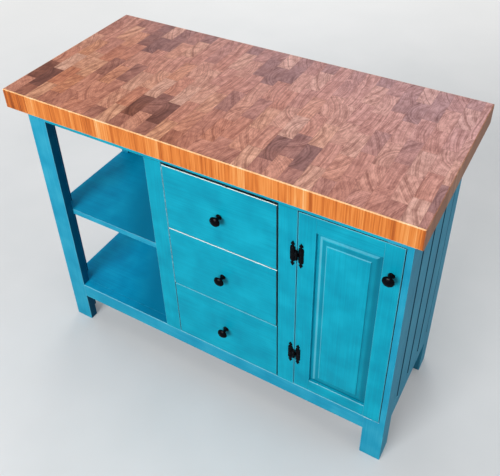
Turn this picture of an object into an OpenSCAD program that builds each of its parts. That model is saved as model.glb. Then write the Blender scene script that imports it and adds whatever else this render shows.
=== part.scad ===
// Kitchen island: an end-grain worktop on a painted base with an open bay of
// shelves on the left, three inset drawers in the middle and a cupboard with a
// raised-panel door on the right. Millimetres, +Z up. The origin is on the
// floor under the middle of the worktop, and the front faces -Y.

/* [Worktop] */
// Thickness of the end-grain worktop
top_t = 57; // [35:1:80]
// Chamfer that eases the worktop's arrises
top_ease = 2; // [0.5:0.5:5]
// Overhang of the worktop past the front of the base
over_front = 40.5; // [36:0.5:80]
// Overhang of the worktop past the back of the base
over_back = 91.5; // [20:0.5:200]
// Overhang of the worktop past each end of the base
over_side = 26; // [10:1:60]

/* [Front layout, left to right] */
// Width of the left legs, seen from the front
leg_w = 61; // [45:1:90]
// Clear width of the open bay
bay_w = 337.5; // [250:0.5:500]
// Width of the stile between the bay and the drawers
stile_bay_w = 53; // [40:1:80]
// Clear width of the drawer opening
drawer_open_w = 335; // [260:1:450]
// Width of the stile that carries the door
stile_door_w = 50; // [44:1:80]
// Clear width of the door opening
door_open_w = 257.5; // [225:0.5:350]
// Width of the right leg that shows beside the door
strip_w = 16; // [10:1:30]
// Full width of the right front leg, at its foot
leg_right_w = 60; // [45:1:90]

/* [Base heights and depths] */
// Height of the space under the bottom rails
foot_h = 115; // [60:1:160]
// Height of the bottom rails of the front and back
rail_bottom_h = 52; // [40:1:80]
// Clear height of the openings in the front
open_h = 644; // [600:1:720]
// Height of the top rails
rail_top_h = 46; // [36:1:80]
// Depth of the base, front to back
base_d = 398; // [385:1:520]
// Depth of the front legs, seen from the side
leg_d = 61; // [50:1:80]
// Depth of the back legs, seen from the side
leg_back_d = 56; // [50:1:80]
// Thickness of the frame stock
frame_t = 27; // [24:1:36]
// Thickness of the panels, shelves and boards
panel_t = 19; // [15:1:24]

/* [Rails, tenons and boards] */
// Length of the stub tenons
tenon_l = 15; // [8:1:18]
// Thickness of the stub tenons
tenon_t = 9; // [6:1:12]
// Shoulder above and below each tenon
tenon_shoulder = 8; // [4:1:12]
// Play around a tenon in its mortise
tenon_play = 0.2; // [0.1:0.05:0.5]
// Height of the bottom rail on the right side
side_rail_h = 52; // [40:1:80]
// Lift of the right side's bottom rail above the front's
side_rail_lift = 18; // [6:1:30]
// Height of the rail under the open bay's shelves
bay_rail_h = 33; // [24:1:33]
// Width of the narrow first board on the right side
strip_board_w = 26; // [20:1:60]
// Width of the V-jointed boards, before they are shared out evenly
board_w = 85; // [60:1:120]
// Depth of each V joint between boards
vee = 5; // [1:0.5:5]
// Length of the tongue along each board
tongue_l = 6; // [4:1:8]
// Thickness of the tongue along each board
tongue_t = 6; // [4:1:7]
// Play of each tongue in its groove
tongue_play = 0.2; // [0.1:0.05:0.4]

/* [Shelves] */
// Height of the open bay's shelf, to its upper face
bay_shelf_z = 477; // [400:1:600]
// Depth of the housing that holds the bay's shelf
housing_d = 6; // [4:1:9]
// Height of the cupboard's shelf, to its upper face
cupboard_shelf_z = 480; // [420:1:560]
// Gap at each end of the cupboard's shelf
shelf_gap = 1.5; // [0.5:0.5:4]
// Diameter of the shelf pins
pin_d = 5; // [4:0.5:7]
// Length of each shelf pin
pin_l = 20; // [16:1:26]
// Depth of the holes for the shelf pins
pin_hole_d = 11; // [9:1:13]
// Spacing of the rows of pin holes, up and down
pin_pitch = 32; // [25:1:40]
// Distance of the pins from the shelf's front and back edges
pin_inset = 42; // [36:1:46]
// Play of a shelf pin in its hole, across the diameter
pin_play = 0.2; // [0.1:0.05:0.5]

/* [Drawers] */
// Gap between neighbouring drawer fronts
front_gap = 2; // [1:0.5:4]
// Gap above the top drawer
top_gap = 5.5; // [1:0.5:8]
// Gap at the left of the drawer fronts
left_gap = 1.5; // [1:0.5:4]
// Gap at the right of the drawer fronts
right_gap = 3; // [1:0.5:4]
// Thickness of the drawer fronts
front_t = 22; // [18:1:25]
// Thickness of the drawer sides and backs
side_t = 14; // [12:1:16]
// Height of the drawer sides
side_h = 168; // [120:1:175]
// Space between the closed drawers and the back boards
drawer_back_space = 29; // [22:1:70]
// Distance from the foot of a drawer front up to its sides
side_lift = 12; // [8:1:20]
// Space between a drawer's side and the divider
side_space = 6; // [5:0.5:9]
// Thickness of the drawer bottoms
bottom_t = 6; // [4:0.5:8]
// Depth of the grooves that hold the drawer bottoms
bottom_groove = 6; // [4:0.5:7]
// Height from the foot of a side to its bottom's underside
bottom_lift = 12; // [8:1:18]
// Play of a drawer bottom in its groove
bottom_play = 0.2; // [0.1:0.05:0.4]
// Number of dovetails at each corner of a drawer
tails = 4; // [3:1:5]
// Distance that each dovetail flares out, above and below
tail_flare = 2.4; // [1:0.2:3]
// Play around each dovetail
tail_play = 0.15; // [0.1:0.05:0.3]
// Wood left in front of the dovetails in a drawer front
lap_t = 8; // [5:1:10]
// Height of the hardwood runners
runner_h = 16; // [12:1:22]
// Gap between the hardwood runners and the back of the frame
runner_end_gap = 12; // [4:1:40]
// Height from the foot of a side to its runner's underside
runner_lift = 74; // [60:1:90]
// Depth of the runner groove in a drawer side
runner_groove = 6.5; // [5:0.5:8]
// Distance behind a drawer front at which its runner groove stops
runner_stop = 12; // [8:1:20]
// Play of a runner in its groove, above and below
runner_play = 0.3; // [0.2:0.1:1]
// Play between a runner and the floor of its groove
runner_side_play = 1; // [0.5:0.5:2]

/* [Door] */
// Gap around the door
door_gap = 2; // [1:0.5:4]
// Thickness of the door's frame
door_t = 22; // [19:1:25]
// Gap behind the closed door
door_back_gap = 2; // [1:0.5:3]
// Width of the door's stiles
door_stile_w = 46; // [40:1:60]
// Height of the door's top rail
door_rail_top_h = 46; // [40:1:70]
// Height of the door's bottom rail
door_rail_bottom_h = 43; // [40:1:80]
// Depth of the groove around the inside of the door's frame
door_groove = 10; // [8:1:14]
// Width of the groove around the inside of the door's frame
door_groove_t = 7; // [5:1:9]
// Play of the panel and the rails in the groove
door_play = 0.2; // [0.1:0.05:0.5]
// Room that the floating panel has at the floor of its groove
panel_room = 1.5; // [1:0.5:3]
// Width of the moulded border of the raised panel
panel_border_w = 29; // [20:0.5:40]
// Distance of the raised field behind the door's face
panel_set_back = 1; // [0.5:0.5:3]

/* [Hinges] */
// Distance of each hinge's middle from the door's nearer end
hinge_inset = 135; // [80:1:200]
// Height of a leaf between its two spear tips
leaf_h = 52; // [40:1:64]
// Width of a leaf
leaf_w = 14; // [12:1:18]
// Thickness of a leaf
leaf_t = 2; // [1.5:0.5:3]
// Length of the spear tip at each end of a leaf
spear_l = 15; // [10:1:20]
// Outer radius of the knuckles
knuckle_r = 3.5; // [3:0.5:4.5]
// Length of the three knuckles together
knuckle_l = 30; // [24:1:40]
// Gap between neighbouring knuckles
knuckle_gap = 0.4; // [0.3:0.1:1]
// Gap between the knuckles and the door's face
knuckle_lift = 0.3; // [0.3:0.1:1]
// Radius of the hinge pins
hinge_pin_r = 1.5; // [1:0.1:2]
// Radial running clearance of a knuckle on its pin
pin_clear = 0.06; // [0.02:0.01:0.1]
// Diameter of the domed screw heads
screw_head_d = 6; // [5:0.5:8]
// Diameter of the screws' shanks
screw_d = 3; // [2:0.5:3.5]
// Length of the screws' shanks
screw_l = 14; // [8:1:16]

/* [Knobs, catch and worktop buttons] */
// Diameter of a knob's head
knob_d = 30; // [24:1:36]
// Distance that a knob stands out from the wood
knob_h = 28; // [24:1:32]
// Diameter of a knob's foot
knob_foot_d = 17; // [12:1:20]
// Diameter of a knob's bolt
knob_bolt_d = 4; // [3:0.5:5]
// Distance of the door's knob below the door's head
knob_drop = 91; // [60:1:200]
// Width of the magnetic catch
catch_w = 40; // [30:1:60]
// Depth of the magnetic catch's case
catch_d = 15; // [10:1:20]
// Height of the magnetic catch's case
catch_h = 44; // [36:1:50]
// Gap between the catch's case and the right front leg
catch_side_gap = 6; // [2:1:12]
// Gap between the catch's magnet and its strike
catch_gap = 0.3; // [0.3:0.1:1]
// Thickness of the strike plate on the door
strike_t = 1; // [0.5:0.5:1.5]
// Length of each wooden button that holds the worktop
button_l = 42; // [30:1:60]
// Width of each wooden button
button_w = 26; // [20:1:40]
// Thickness of each wooden button
button_t = 20; // [16:1:24]
// Length of the tongue on each wooden button
button_tongue = 9; // [6:1:10]

/* [Hidden] */
$fn = 48;
e = 0.01;                       // overshoot of a cut past a face

// Colours, as the photograph shows them
paint = "#08A5C4";
paint_shelf = "#007DAA";
paint_side = "#4B7D96";
end_grain = "#B47B6C";
iron = "#17161C";
bare_wood = "#D9B98C";
steel = "#B9BCC0";

// Places along the front, left to right
base_w = leg_w + bay_w + stile_bay_w + drawer_open_w + stile_door_w
         + door_open_w + strip_w;
x_left = -base_w / 2;
x_bay = x_left + leg_w;
x_stile_bay = x_bay + bay_w;
x_drawers = x_stile_bay + stile_bay_w;
x_stile_door = x_drawers + drawer_open_w;
x_door = x_stile_door + stile_door_w;
x_strip = x_door + door_open_w;
x_right = base_w / 2;
x_leg_right = x_right - leg_right_w;
x_leg_back_right = x_right - leg_w;
x_left_in = x_left + frame_t;
x_right_in = x_right - frame_t;
x_boards_in = x_right - panel_t;

// Places from front to back
top_w = over_front + base_d + over_back;
top_l = base_w + 2 * over_side;
y_front = -top_w / 2 + over_front;
y_front_in = y_front + frame_t;
y_back = y_front + base_d;
y_back_in = y_back - frame_t;
y_boards_in = y_back - panel_t;
y_leg_front = y_front + leg_d;
y_leg_back = y_back - leg_back_d;
y_rebate = y_front + door_t + door_back_gap;

// Places up the height
z_floor = foot_h + rail_bottom_h;
z_open = z_floor + open_h;
z_under = z_open + rail_top_h;
z_side_rail = foot_h + side_rail_lift;
z_side_boards = z_side_rail + side_rail_h;

// Drawers, numbered from the top down: 0, 1, 2
drawers = 3;
front_h = (open_h - top_gap - drawers * front_gap) / drawers;
front_w = drawer_open_w - left_gap - right_gap;
x_front = x_drawers + left_gap;
x_drawer_mid = x_drawers + drawer_open_w / 2;
function drawer_z(i) = z_floor + front_gap + (drawers - 1 - i) * (front_h + front_gap);
function side_z(i) = drawer_z(i) + side_lift;
box_w = drawer_open_w - 2 * side_space;
x_box = x_drawers + side_space;
y_box = y_front + front_t;
side_l = base_d - front_t - panel_t - drawer_back_space;
tail_l_front = front_t - lap_t;
runner_w = side_space + runner_groove - runner_side_play;
y_runner = y_box + runner_stop + runner_play;
runner_l = y_back_in - y_runner - runner_end_gap;

// Door
door_w = door_open_w - 2 * door_gap;
door_h = open_h - 2 * door_gap;
x_leaf = x_door + door_gap;
z_leaf = z_floor + door_gap;
panel_open_w = door_w - 2 * door_stile_w;
panel_open_h = door_h - door_rail_top_h - door_rail_bottom_h;
x_panel_open = x_leaf + door_stile_w;
z_panel_open = z_leaf + door_rail_bottom_h;
y_groove = y_front + (door_t - door_groove_t) / 2;
x_hinge = x_door + door_gap / 2;
hinge_heights = [z_leaf + door_h - hinge_inset, z_leaf + hinge_inset];
x_knob = x_leaf + door_w - door_stile_w / 2;
z_knob = z_leaf + door_h - knob_drop;
x_catch = x_leg_right - catch_side_gap - catch_w / 2;
y_strike = y_front + door_t;

// Knobs and their bolts
knob_neck_d = 9;
knob_foot_edge = 1.5;           // height of the foot's upright edge
knob_foot_rise = 5;             // height of the hollow from the foot in to the neck
knob_flare = 4;                 // height over which the neck opens out to the head
knob_rim = 1.2;                 // easing under the head's rim
knob_dome_h = 8.2;              // height of the domed head
bolt_play = 0.3;                // radial play of a bolt in its hole
bolt_head_d = 8;
bolt_head_h = 2.4;
bolt_sink = 3;                  // depth of the recess for a bolt's head

// Catch and strike
magnet_h = 17;                  // height of the magnet's bar
magnet_lift = 1;                // height of the magnet above the case's foot
magnet_inset = 3;               // distance of the magnet's ends inside the case's
strike_inset = 1;               // distance of the strike's edges inside the magnet's
z_case = z_open - catch_h / 2;

// Hinges' screws, pins and spear tips
screw_play = 0.2;               // play of a screw in its hole, across the diameter
screw_room = 1;                 // depth of a hole past its screw's end
screw_inset = 7;                // distance of a leaf's outer screws from its ends
screw_dome_h = 1.8;             // height of a screw's domed head
pin_cap_lip = 0.8;              // reach of a pin's cap past the pin
pin_cap_h = 1.6;
leaf_gap = 0.7;                 // gap between a leaf's edge and the knuckles
// One side of a spear tip, from the leaf up to the point: the shares of half
// the leaf's width and of the tip's length, for the shoulder, waist and barb
spear = [[1, -0.4], [0.79, -0.07], [0.31, 0.03], [0.29, 0.17], [0.8, 0.3],
         [0.6, 0.53], [0, 1]];

// Worktop buttons
button_sink = 10;               // depth of the slots that the tongues enter
button_drop = 10;               // height from the worktop down to a slot's top
button_slot_t = 9;              // height of the slots and, less the play, of the tongues
button_play = 0.5;
button_screw_l = 36;
button_screw_head_h = 2.4;
// The raised panel's border, from its tongue inwards, as shares of its width and
// of the field's height: a flat, a swelling, a ledge and a round up to the field
panel_border = [[0.1, 0.02], [0.21, 0.12], [0.31, 0.3], [0.41, 0.48], [0.52, 0.64],
                [0.6, 0.7], [0.86, 0.7], [0.9, 0.78], [0.93, 0.89], [0.965, 0.97],
                [1, 1]];

// ---------------------------------------------------------------- helpers

// A list in reverse order
function reversed(list) = [for (i = [1 : len(list)]) list[len(list) - i]];

// A rectangular solid between two corners
module block(low, high) {
    translate(low) cube(high - low);
}

// A rectangle with its four corners cut off at 45 degrees
module eased_rect(w, h, ease) {
    polygon([[ease, 0], [w - ease, 0], [w, ease], [w, h - ease],
             [w - ease, h], [ease, h], [0, h - ease], [0, ease]]);
}

// A rectangular solid with all twelve edges chamfered
module eased_block(size, ease) {
    intersection() {
        linear_extrude(size.z) eased_rect(size.x, size.y, ease);
        translate([0, size.y, 0]) rotate([90, 0, 0])
            linear_extrude(size.y) eased_rect(size.x, size.z, ease);
        rotate([90, 0, 90]) linear_extrude(size.x) eased_rect(size.y, size.z, ease);
    }
}

// Stub tenons on both ends of a rail that runs along X, grown by the play
module tenons_x(x0, x1, y, z, h, play = 0) {
    for (x = [x0 - tenon_l, x1])
        block([x - play, y + (frame_t - tenon_t) / 2 - play, z + tenon_shoulder - play],
              [x + tenon_l + play, y + (frame_t + tenon_t) / 2 + play,
               z + h - tenon_shoulder + play]);
}

// Stub tenons on both ends of a rail that runs along Y, grown by the play
module tenons_y(x, y0, y1, z, h, play = 0) {
    for (y = [y0 - tenon_l, y1])
        block([x + (frame_t - tenon_t) / 2 - play, y - play, z + tenon_shoulder - play],
              [x + (frame_t + tenon_t) / 2 + play, y + tenon_l + play,
               z + h - tenon_shoulder + play]);
}

// Stub tenons on both ends of an upright stile, grown by the play
module tenons_z(x, w, y, z0, z1, play = 0) {
    for (z = [z0 - tenon_l, z1])
        block([x + tenon_shoulder - play, y + (frame_t - tenon_t) / 2 - play, z - play],
              [x + w - tenon_shoulder + play, y + (frame_t + tenon_t) / 2 + play,
               z + tenon_l + play]);
}

// ------------------------------------------- tenons, each drawn once and cut once

module front_top_tenons(play = 0) {
    tenons_x(x_bay, x_leg_right, y_front, z_open, rail_top_h, play);
}

module front_bottom_tenons(play = 0) {
    tenons_x(x_bay, x_leg_right, y_front, foot_h, rail_bottom_h, play);
}

module back_top_tenons(play = 0) {
    tenons_x(x_bay, x_leg_back_right, y_back_in, z_open, rail_top_h, play);
}

module back_bottom_tenons(play = 0) {
    tenons_x(x_bay, x_leg_back_right, y_back_in, foot_h, rail_bottom_h, play);
}

module left_tenons(z, h, play = 0) {
    tenons_y(x_left, y_leg_front, y_leg_back, z, h, play);
}

module right_tenons(z, h, play = 0) {
    tenons_y(x_right_in, y_leg_front, y_leg_back, z, h, play);
}

z_rail_left_middle = bay_shelf_z - panel_t - bay_rail_h;
z_rail_left_bottom = z_floor - panel_t - bay_rail_h;

module all_left_tenons(play = 0) {
    left_tenons(z_open, rail_top_h, play);
    left_tenons(z_rail_left_middle, bay_rail_h, play);
    left_tenons(z_rail_left_bottom, bay_rail_h, play);
}

module all_right_tenons(play = 0) {
    right_tenons(z_open, rail_top_h, play);
    right_tenons(z_side_rail, side_rail_h, play);
}

module front_stile_tenons(play = 0) {
    tenons_z(x_stile_bay, stile_bay_w, y_front, z_floor, z_open, play);
    tenons_z(x_stile_door, stile_door_w, y_front, z_floor, z_open, play);
}

module back_stile_tenons(play = 0) {
    tenons_z(x_stile_bay, stile_bay_w, y_back_in, z_floor, z_open, play);
}

// --------------------------------------------------------------- worktop

module worktop() {
    color(end_grain)
        difference() {
            translate([-top_l / 2, -top_w / 2, z_under])
                eased_block([top_l, top_w, top_t], top_ease);
            button_places() button_screw_hole();
        }
}

// Each worktop button's place: the middle of its rail's inner face, turned so
// that +Y points away from the rail
module button_places() {
    x_mid_bay = x_bay + bay_w / 2;
    for (x = [x_mid_bay, (x_door + x_catch - catch_w / 2) / 2])
        translate([x, y_front_in, z_under]) children();
    for (x = [x_mid_bay, x_door + door_open_w / 2])
        translate([x, y_back_in, z_under]) rotate(180) children();
    y_mid = (y_front + y_back) / 2;
    translate([x_left_in, y_mid, z_under]) rotate(-90) children();
    translate([x_right_in, y_mid, z_under]) rotate(90) children();
}

// The slot in a rail that a button's tongue enters
module button_slot() {
    block([-button_w / 2 - button_play, -button_sink, -button_drop - button_slot_t],
          [button_w / 2 + button_play, e, -button_drop]);
}

y_button_screw = button_l / 2;

module button_screw_hole() {
    translate([0, y_button_screw, -e])
        cylinder(d = screw_d + screw_play, h = button_screw_l - button_t + screw_room);
}

module button() {
    difference() {
        union() {
            block([-button_w / 2, button_play, -button_t], [button_w / 2, button_l, 0]);
            block([-button_w / 2, -button_tongue, -button_drop - button_slot_t + button_play],
                  [button_w / 2, button_play + e, -button_drop - button_play]);
        }
        translate([0, y_button_screw, -button_t - e])
            cylinder(d = screw_d + button_play, h = button_t + 2 * e);
    }
}

module button_screw() {
    translate([0, y_button_screw, -button_t - button_screw_head_h]) {
        cylinder(d = screw_head_d, h = button_screw_head_h);
        cylinder(d = screw_d, h = button_screw_l);
    }
}

module top_buttons() {
    color(bare_wood) button_places() button();
}

module top_button_screws() {
    color(steel) button_places() button_screw();
}

// ------------------------------------------------------------------ legs

// An L-section leg made of a wide board and a narrower one behind its edge;
// +X and +Y point into the cabinet
module leg_section(w, d) {
    block([0, 0, 0], [w, frame_t, z_under]);
    block([0, frame_t - e, 0], [frame_t, d, z_under]);
}

module leg_front_left() {
    color(paint)
        difference() {
            translate([x_left, y_front, 0]) leg_section(leg_w, leg_d);
            front_top_tenons(tenon_play);
            front_bottom_tenons(tenon_play);
            all_left_tenons(tenon_play);
        }
}

module leg_back_left() {
    color(paint)
        difference() {
            translate([x_left, y_back, 0]) mirror([0, 1, 0]) leg_section(leg_w, leg_back_d);
            back_top_tenons(tenon_play);
            back_bottom_tenons(tenon_play);
            all_left_tenons(tenon_play);
        }
}

module leg_back_right() {
    color(paint_side)
        difference() {
            translate([x_right, y_back, 0]) mirror([1, 0, 0]) mirror([0, 1, 0])
                leg_section(leg_w, leg_back_d);
            back_top_tenons(tenon_play);
            back_bottom_tenons(tenon_play);
            all_right_tenons(tenon_play);
        }
}

// The right front leg is a solid post, rebated so that the door shuts into it
module leg_front_right() {
    color(paint)
        difference() {
            block([x_leg_right, y_front, 0], [x_right, y_leg_front, z_under]);
            block([x_leg_right - e, y_front - e, z_floor], [x_strip, y_rebate, z_open]);
            front_top_tenons(tenon_play);
            front_bottom_tenons(tenon_play);
            all_right_tenons(tenon_play);
        }
}

// ----------------------------------------------------------------- rails

module rail_front_top() {
    color(paint) {
        difference() {
            block([x_bay, y_front, z_open], [x_leg_right, y_front_in, z_under]);
            front_stile_tenons(tenon_play);
            button_places() button_slot();
        }
        front_top_tenons();
    }
}

module rail_front_bottom() {
    color(paint) {
        difference() {
            block([x_bay, y_front, foot_h], [x_leg_right, y_front_in, z_floor]);
            front_stile_tenons(tenon_play);
        }
        front_bottom_tenons();
    }
}

module rail_back_top() {
    color(paint) {
        difference() {
            block([x_bay, y_back_in, z_open], [x_leg_back_right, y_back, z_under]);
            back_stile_tenons(tenon_play);
            button_places() button_slot();
        }
        back_top_tenons();
    }
}

module rail_back_bottom() {
    color(paint) {
        difference() {
            block([x_bay, y_back_in, foot_h], [x_leg_back_right, y_back, z_floor]);
            back_stile_tenons(tenon_play);
        }
        back_bottom_tenons();
    }
}

module rail_left(z, h) {
    color(paint) {
        difference() {
            block([x_left, y_leg_front, z], [x_left_in, y_leg_back, z + h]);
            button_places() button_slot();
        }
        left_tenons(z, h);
    }
}

module rail_right(z, h) {
    color(paint_side) {
        difference() {
            block([x_right_in, y_leg_front, z], [x_right, y_leg_back, z + h]);
            button_places() button_slot();
        }
        right_tenons(z, h);
    }
}

module rail_left_top() {
    rail_left(z_open, rail_top_h);
}

module rail_left_middle() {
    rail_left(z_rail_left_middle, bay_rail_h);
}

module rail_left_bottom() {
    rail_left(z_rail_left_bottom, bay_rail_h);
}

module rail_right_top() {
    rail_right(z_open, rail_top_h);
}

module rail_right_bottom() {
    rail_right(z_side_rail, side_rail_h);
}

// ---------------------------------------------------------------- stiles

module stile_bay() {
    color(paint) {
        block([x_stile_bay, y_front, z_floor], [x_drawers, y_front_in, z_open]);
        tenons_z(x_stile_bay, stile_bay_w, y_front, z_floor, z_open);
    }
}

module stile_door() {
    color(paint)
        difference() {
            union() {
                block([x_stile_door, y_front, z_floor], [x_door, y_front_in, z_open]);
                tenons_z(x_stile_door, stile_door_w, y_front, z_floor, z_open);
            }
            hinge_places() mirror([1, 0, 0]) leaf_screw_places() screw_hole();
        }
}

module stile_back() {
    color(paint) {
        block([x_stile_bay, y_back_in, z_floor], [x_drawers, y_back, z_open]);
        tenons_z(x_stile_bay, stile_bay_w, y_back_in, z_floor, z_open);
    }
}

// ------------------------------------------------------- V-jointed boards

// Cross-section of one board: X runs across it and Y from its face inwards.
// Its left edge is grooved, its right edge tongued, and either may have a V.
module board_section(w, vee_left, vee_right, grooved, tongued) {
    gap = tongue_play / 2;
    a = (panel_t - tongue_t) / 2;
    b = (panel_t + tongue_t) / 2;
    polygon(concat(
        vee_left ? [[gap, vee], [gap + vee, 0]] : [[gap, 0]],
        vee_right ? [[w - gap - vee, 0], [w - gap, vee]] : [[w - gap, 0]],
        tongued ? [[w - gap, a], [w - gap + tongue_l, a],
                   [w - gap + tongue_l, b], [w - gap, b]] : [],
        [[w - gap, panel_t], [gap, panel_t]],
        grooved ? [[gap, b + tongue_play], [tongue_l + tongue_play, b + tongue_play],
                   [tongue_l + tongue_play, a - tongue_play], [gap, a - tongue_play]] : []));
}

// A row of equal boards with a V at every edge
module board_row(length, count, h) {
    w = length / count;
    for (i = [0 : count - 1])
        translate([i * w, 0, 0])
            linear_extrude(h)
                board_section(w, true, true, i > 0, i < count - 1);
}

y_boards = y_leg_front + strip_board_w;
side_board_count = max(1, round((y_leg_back - y_boards) / board_w));
back_board_count = max(1, round((x_leg_back_right - x_drawers) / board_w));
y_pins = [y_leg_front + shelf_gap + pin_inset, y_leg_back - shelf_gap - pin_inset];
z_pins = cupboard_shelf_z - panel_t - pin_d / 2;

module side_boards() {
    h = z_open - z_side_boards;
    color(paint_side)
        difference() {
            union() {
                translate([x_right, y_leg_front, z_side_boards]) rotate(90)
                    linear_extrude(h)
                        board_section(strip_board_w, false, true, false, false);
                translate([x_right, y_boards, z_side_boards]) rotate(90)
                    board_row(y_leg_back - y_boards, side_board_count, h);
            }
            pin_holes(x_boards_in, 1);
        }
}

module back_boards() {
    color(paint)
        translate([x_drawers, y_back, z_floor]) mirror([0, 1, 0])
            board_row(x_leg_back_right - x_drawers, back_board_count, open_h);
}

// -------------------------------------------------- dividers and shelves

x_divider_left = x_drawers - panel_t;
x_divider_right = x_stile_door + panel_t;

// Three rows of holes for the shelf pins, bored from x towards side
module pin_holes(x, side) {
    for (y = y_pins, row = [-1 : 1])
        translate([x - side * e, y, z_pins + row * pin_pitch]) rotate([0, side * 90, 0])
            cylinder(d = pin_d + pin_play, h = pin_hole_d);
}

module divider_left() {
    color(bare_wood)
        difference() {
            block([x_divider_left, y_front_in, z_floor], [x_drawers, y_back_in, z_under]);
            block([x_divider_left - e, y_front_in - e, bay_shelf_z - panel_t - tenon_play],
                  [x_divider_left + housing_d + tenon_play, y_back_in + e,
                   bay_shelf_z + tenon_play]);
        }
}

module divider_right() {
    color(bare_wood)
        difference() {
            union() {
                block([x_stile_door, y_front_in, z_floor],
                      [x_divider_right, y_back_in, z_under]);
                block([x_stile_door, y_back_in - e, z_floor],
                      [x_divider_right, y_boards_in, z_open]);
            }
            pin_holes(x_divider_right, -1);
        }
}

// The corners of a shelf that the left legs' narrow boards fill
module left_leg_notches() {
    block([x_left - e, y_front_in - e, 0], [x_left_in, y_leg_front, z_under]);
    block([x_left - e, y_leg_back, 0], [x_left_in, y_back_in + e, z_under]);
}

module floor_panel() {
    color(paint_shelf)
        difference() {
            block([x_left, y_front_in, z_floor - panel_t], [x_right_in, y_back_in, z_floor]);
            left_leg_notches();
            block([x_leg_right, y_front_in - e, 0], [x_right, y_leg_front, z_under]);
        }
}

module bay_shelf() {
    color(paint_shelf)
        difference() {
            block([x_left, y_front_in, bay_shelf_z - panel_t],
                  [x_divider_left + housing_d, y_back_in, bay_shelf_z]);
            left_leg_notches();
        }
}

module cupboard_shelf() {
    color(bare_wood)
        block([x_divider_right + shelf_gap, y_leg_front + shelf_gap,
               cupboard_shelf_z - panel_t],
              [x_boards_in - shelf_gap, y_leg_back - shelf_gap, cupboard_shelf_z]);
}

module shelf_pins() {
    sunk = pin_hole_d - pin_play;
    color(steel)
        for (y = y_pins) {
            translate([x_divider_right - sunk, y, z_pins]) rotate([0, 90, 0])
                cylinder(d = pin_d, h = pin_l);
            translate([x_boards_in + sunk, y, z_pins]) rotate([0, -90, 0])
                cylinder(d = pin_d, h = pin_l);
        }
}

// ----------------------------------------------------------------- hinges

// Each hinge's place: the middle of its pin's length, on the wood's face
module hinge_places() {
    for (z = hinge_heights) translate([x_hinge, y_front, z]) children();
}

leaf_start = knuckle_r + leaf_gap;   // where a leaf starts, out from the pin
leaf_mid = leaf_start + leaf_w / 2;

// Outline of one leaf, with a barbed spear at each end; X runs away from the pin
module leaf_outline() {
    left = [for (p = spear) [-p.x * leaf_w / 2, leaf_h / 2 + p.y * spear_l]];
    right = [for (p = reversed(left)) if (p.x != 0) [-p.x, p.y]];
    upper = concat(left, right);
    translate([leaf_mid, 0])
        polygon(concat(upper, [for (p = reversed(upper)) [p.x, -p.y]]));
}

// A leaf, with a bridge to its knuckle over each stretch of heights
module leaf_plate(bridges) {
    rotate([90, 0, 0]) linear_extrude(leaf_t) {
        leaf_outline();
        for (b = bridges)
            translate([0, b[0]]) square([leaf_mid, b[1] - b[0]]);
    }
}

module knuckle(low, high) {
    translate([0, -knuckle_lift - knuckle_r, low])
        cylinder(r = knuckle_r, h = high - low);
}

module pin_bore() {
    translate([0, -knuckle_lift - knuckle_r, -knuckle_l])
        cylinder(r = hinge_pin_r + pin_clear, h = 2 * knuckle_l);
}

knuckle_end = knuckle_l / 2;
knuckle_mid = knuckle_l / 6;

// Three screws in each leaf, at its middle and near its ends; -Y points into
// the room
module leaf_screw_places() {
    for (z = [screw_inset - leaf_h / 2, 0, leaf_h / 2 - screw_inset])
        translate([leaf_mid, 0, z]) children();
}

// The pilot hole that a hinge's screw enters, from the face inwards
module screw_hole() {
    translate([0, -leaf_t - e, 0]) rotate([-90, 0, 0])
        cylinder(d = screw_d + screw_play, h = leaf_t + screw_l + screw_room);
}

// A domed screw: its head sits on the leaf
module dome_screw() {
    translate([0, -leaf_t, 0]) rotate([90, 0, 0])
        rotate_extrude()
            polygon(concat([[0, -screw_l], [screw_d / 2, -screw_l], [screw_d / 2, 0]],
                           [for (a = [0 : 15 : 90])
                                [screw_head_d / 2 * cos(a), screw_dome_h * sin(a)]]));
}

module hinge_leaves_frame() {
    color(iron)
        hinge_places() difference() {
            union() {
                mirror([1, 0, 0])
                    leaf_plate([[-knuckle_end, -knuckle_mid - knuckle_gap],
                                [knuckle_mid + knuckle_gap, knuckle_end]]);
                knuckle(knuckle_mid + knuckle_gap, knuckle_end);
                knuckle(-knuckle_end, -knuckle_mid - knuckle_gap);
            }
            pin_bore();
            mirror([1, 0, 0]) leaf_screw_places() screw_hole();
        }
}

module hinge_leaves_door() {
    color(iron)
        hinge_places() difference() {
            union() {
                leaf_plate([[-knuckle_mid, knuckle_mid]]);
                knuckle(-knuckle_mid, knuckle_mid);
            }
            pin_bore();
            leaf_screw_places() screw_hole();
        }
}

module hinge_pins() {
    cap_r = hinge_pin_r + pin_cap_lip;
    half_cap = pin_cap_h / 2;
    upper = [[hinge_pin_r, knuckle_end], [cap_r, knuckle_end],
             [cap_r, knuckle_end + half_cap], [cap_r - half_cap, knuckle_end + pin_cap_h],
             [0, knuckle_end + pin_cap_h]];
    lower = [for (i = [len(upper) - 1 : -1 : 0]) [upper[i].x, -upper[i].y]];
    color(iron)
        hinge_places() translate([0, -knuckle_lift - knuckle_r, 0])
            rotate_extrude() polygon(concat(lower, upper));
}

module hinge_screws_frame() {
    color(iron) hinge_places() mirror([1, 0, 0]) leaf_screw_places() dome_screw();
}

module hinge_screws_door() {
    color(iron) hinge_places() leaf_screw_places() dome_screw();
}

// ------------------------------------------------------------------- door

// The groove around the inside of the door's frame
module door_frame_groove() {
    block([x_panel_open - door_groove, y_groove, z_panel_open - door_groove],
          [x_panel_open + panel_open_w + door_groove, y_groove + door_groove_t,
           z_panel_open + panel_open_h + door_groove]);
}

module door_stile(x) {
    block([x, y_front, z_leaf], [x + door_stile_w, y_front + door_t, z_leaf + door_h]);
}

// The groove runs the whole length of the stiles, where it takes the rails
module stile_groove() {
    block([x_panel_open - door_groove, y_groove, z_leaf - e],
          [x_panel_open + panel_open_w + door_groove, y_groove + door_groove_t,
           z_leaf + door_h + e]);
}

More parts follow.
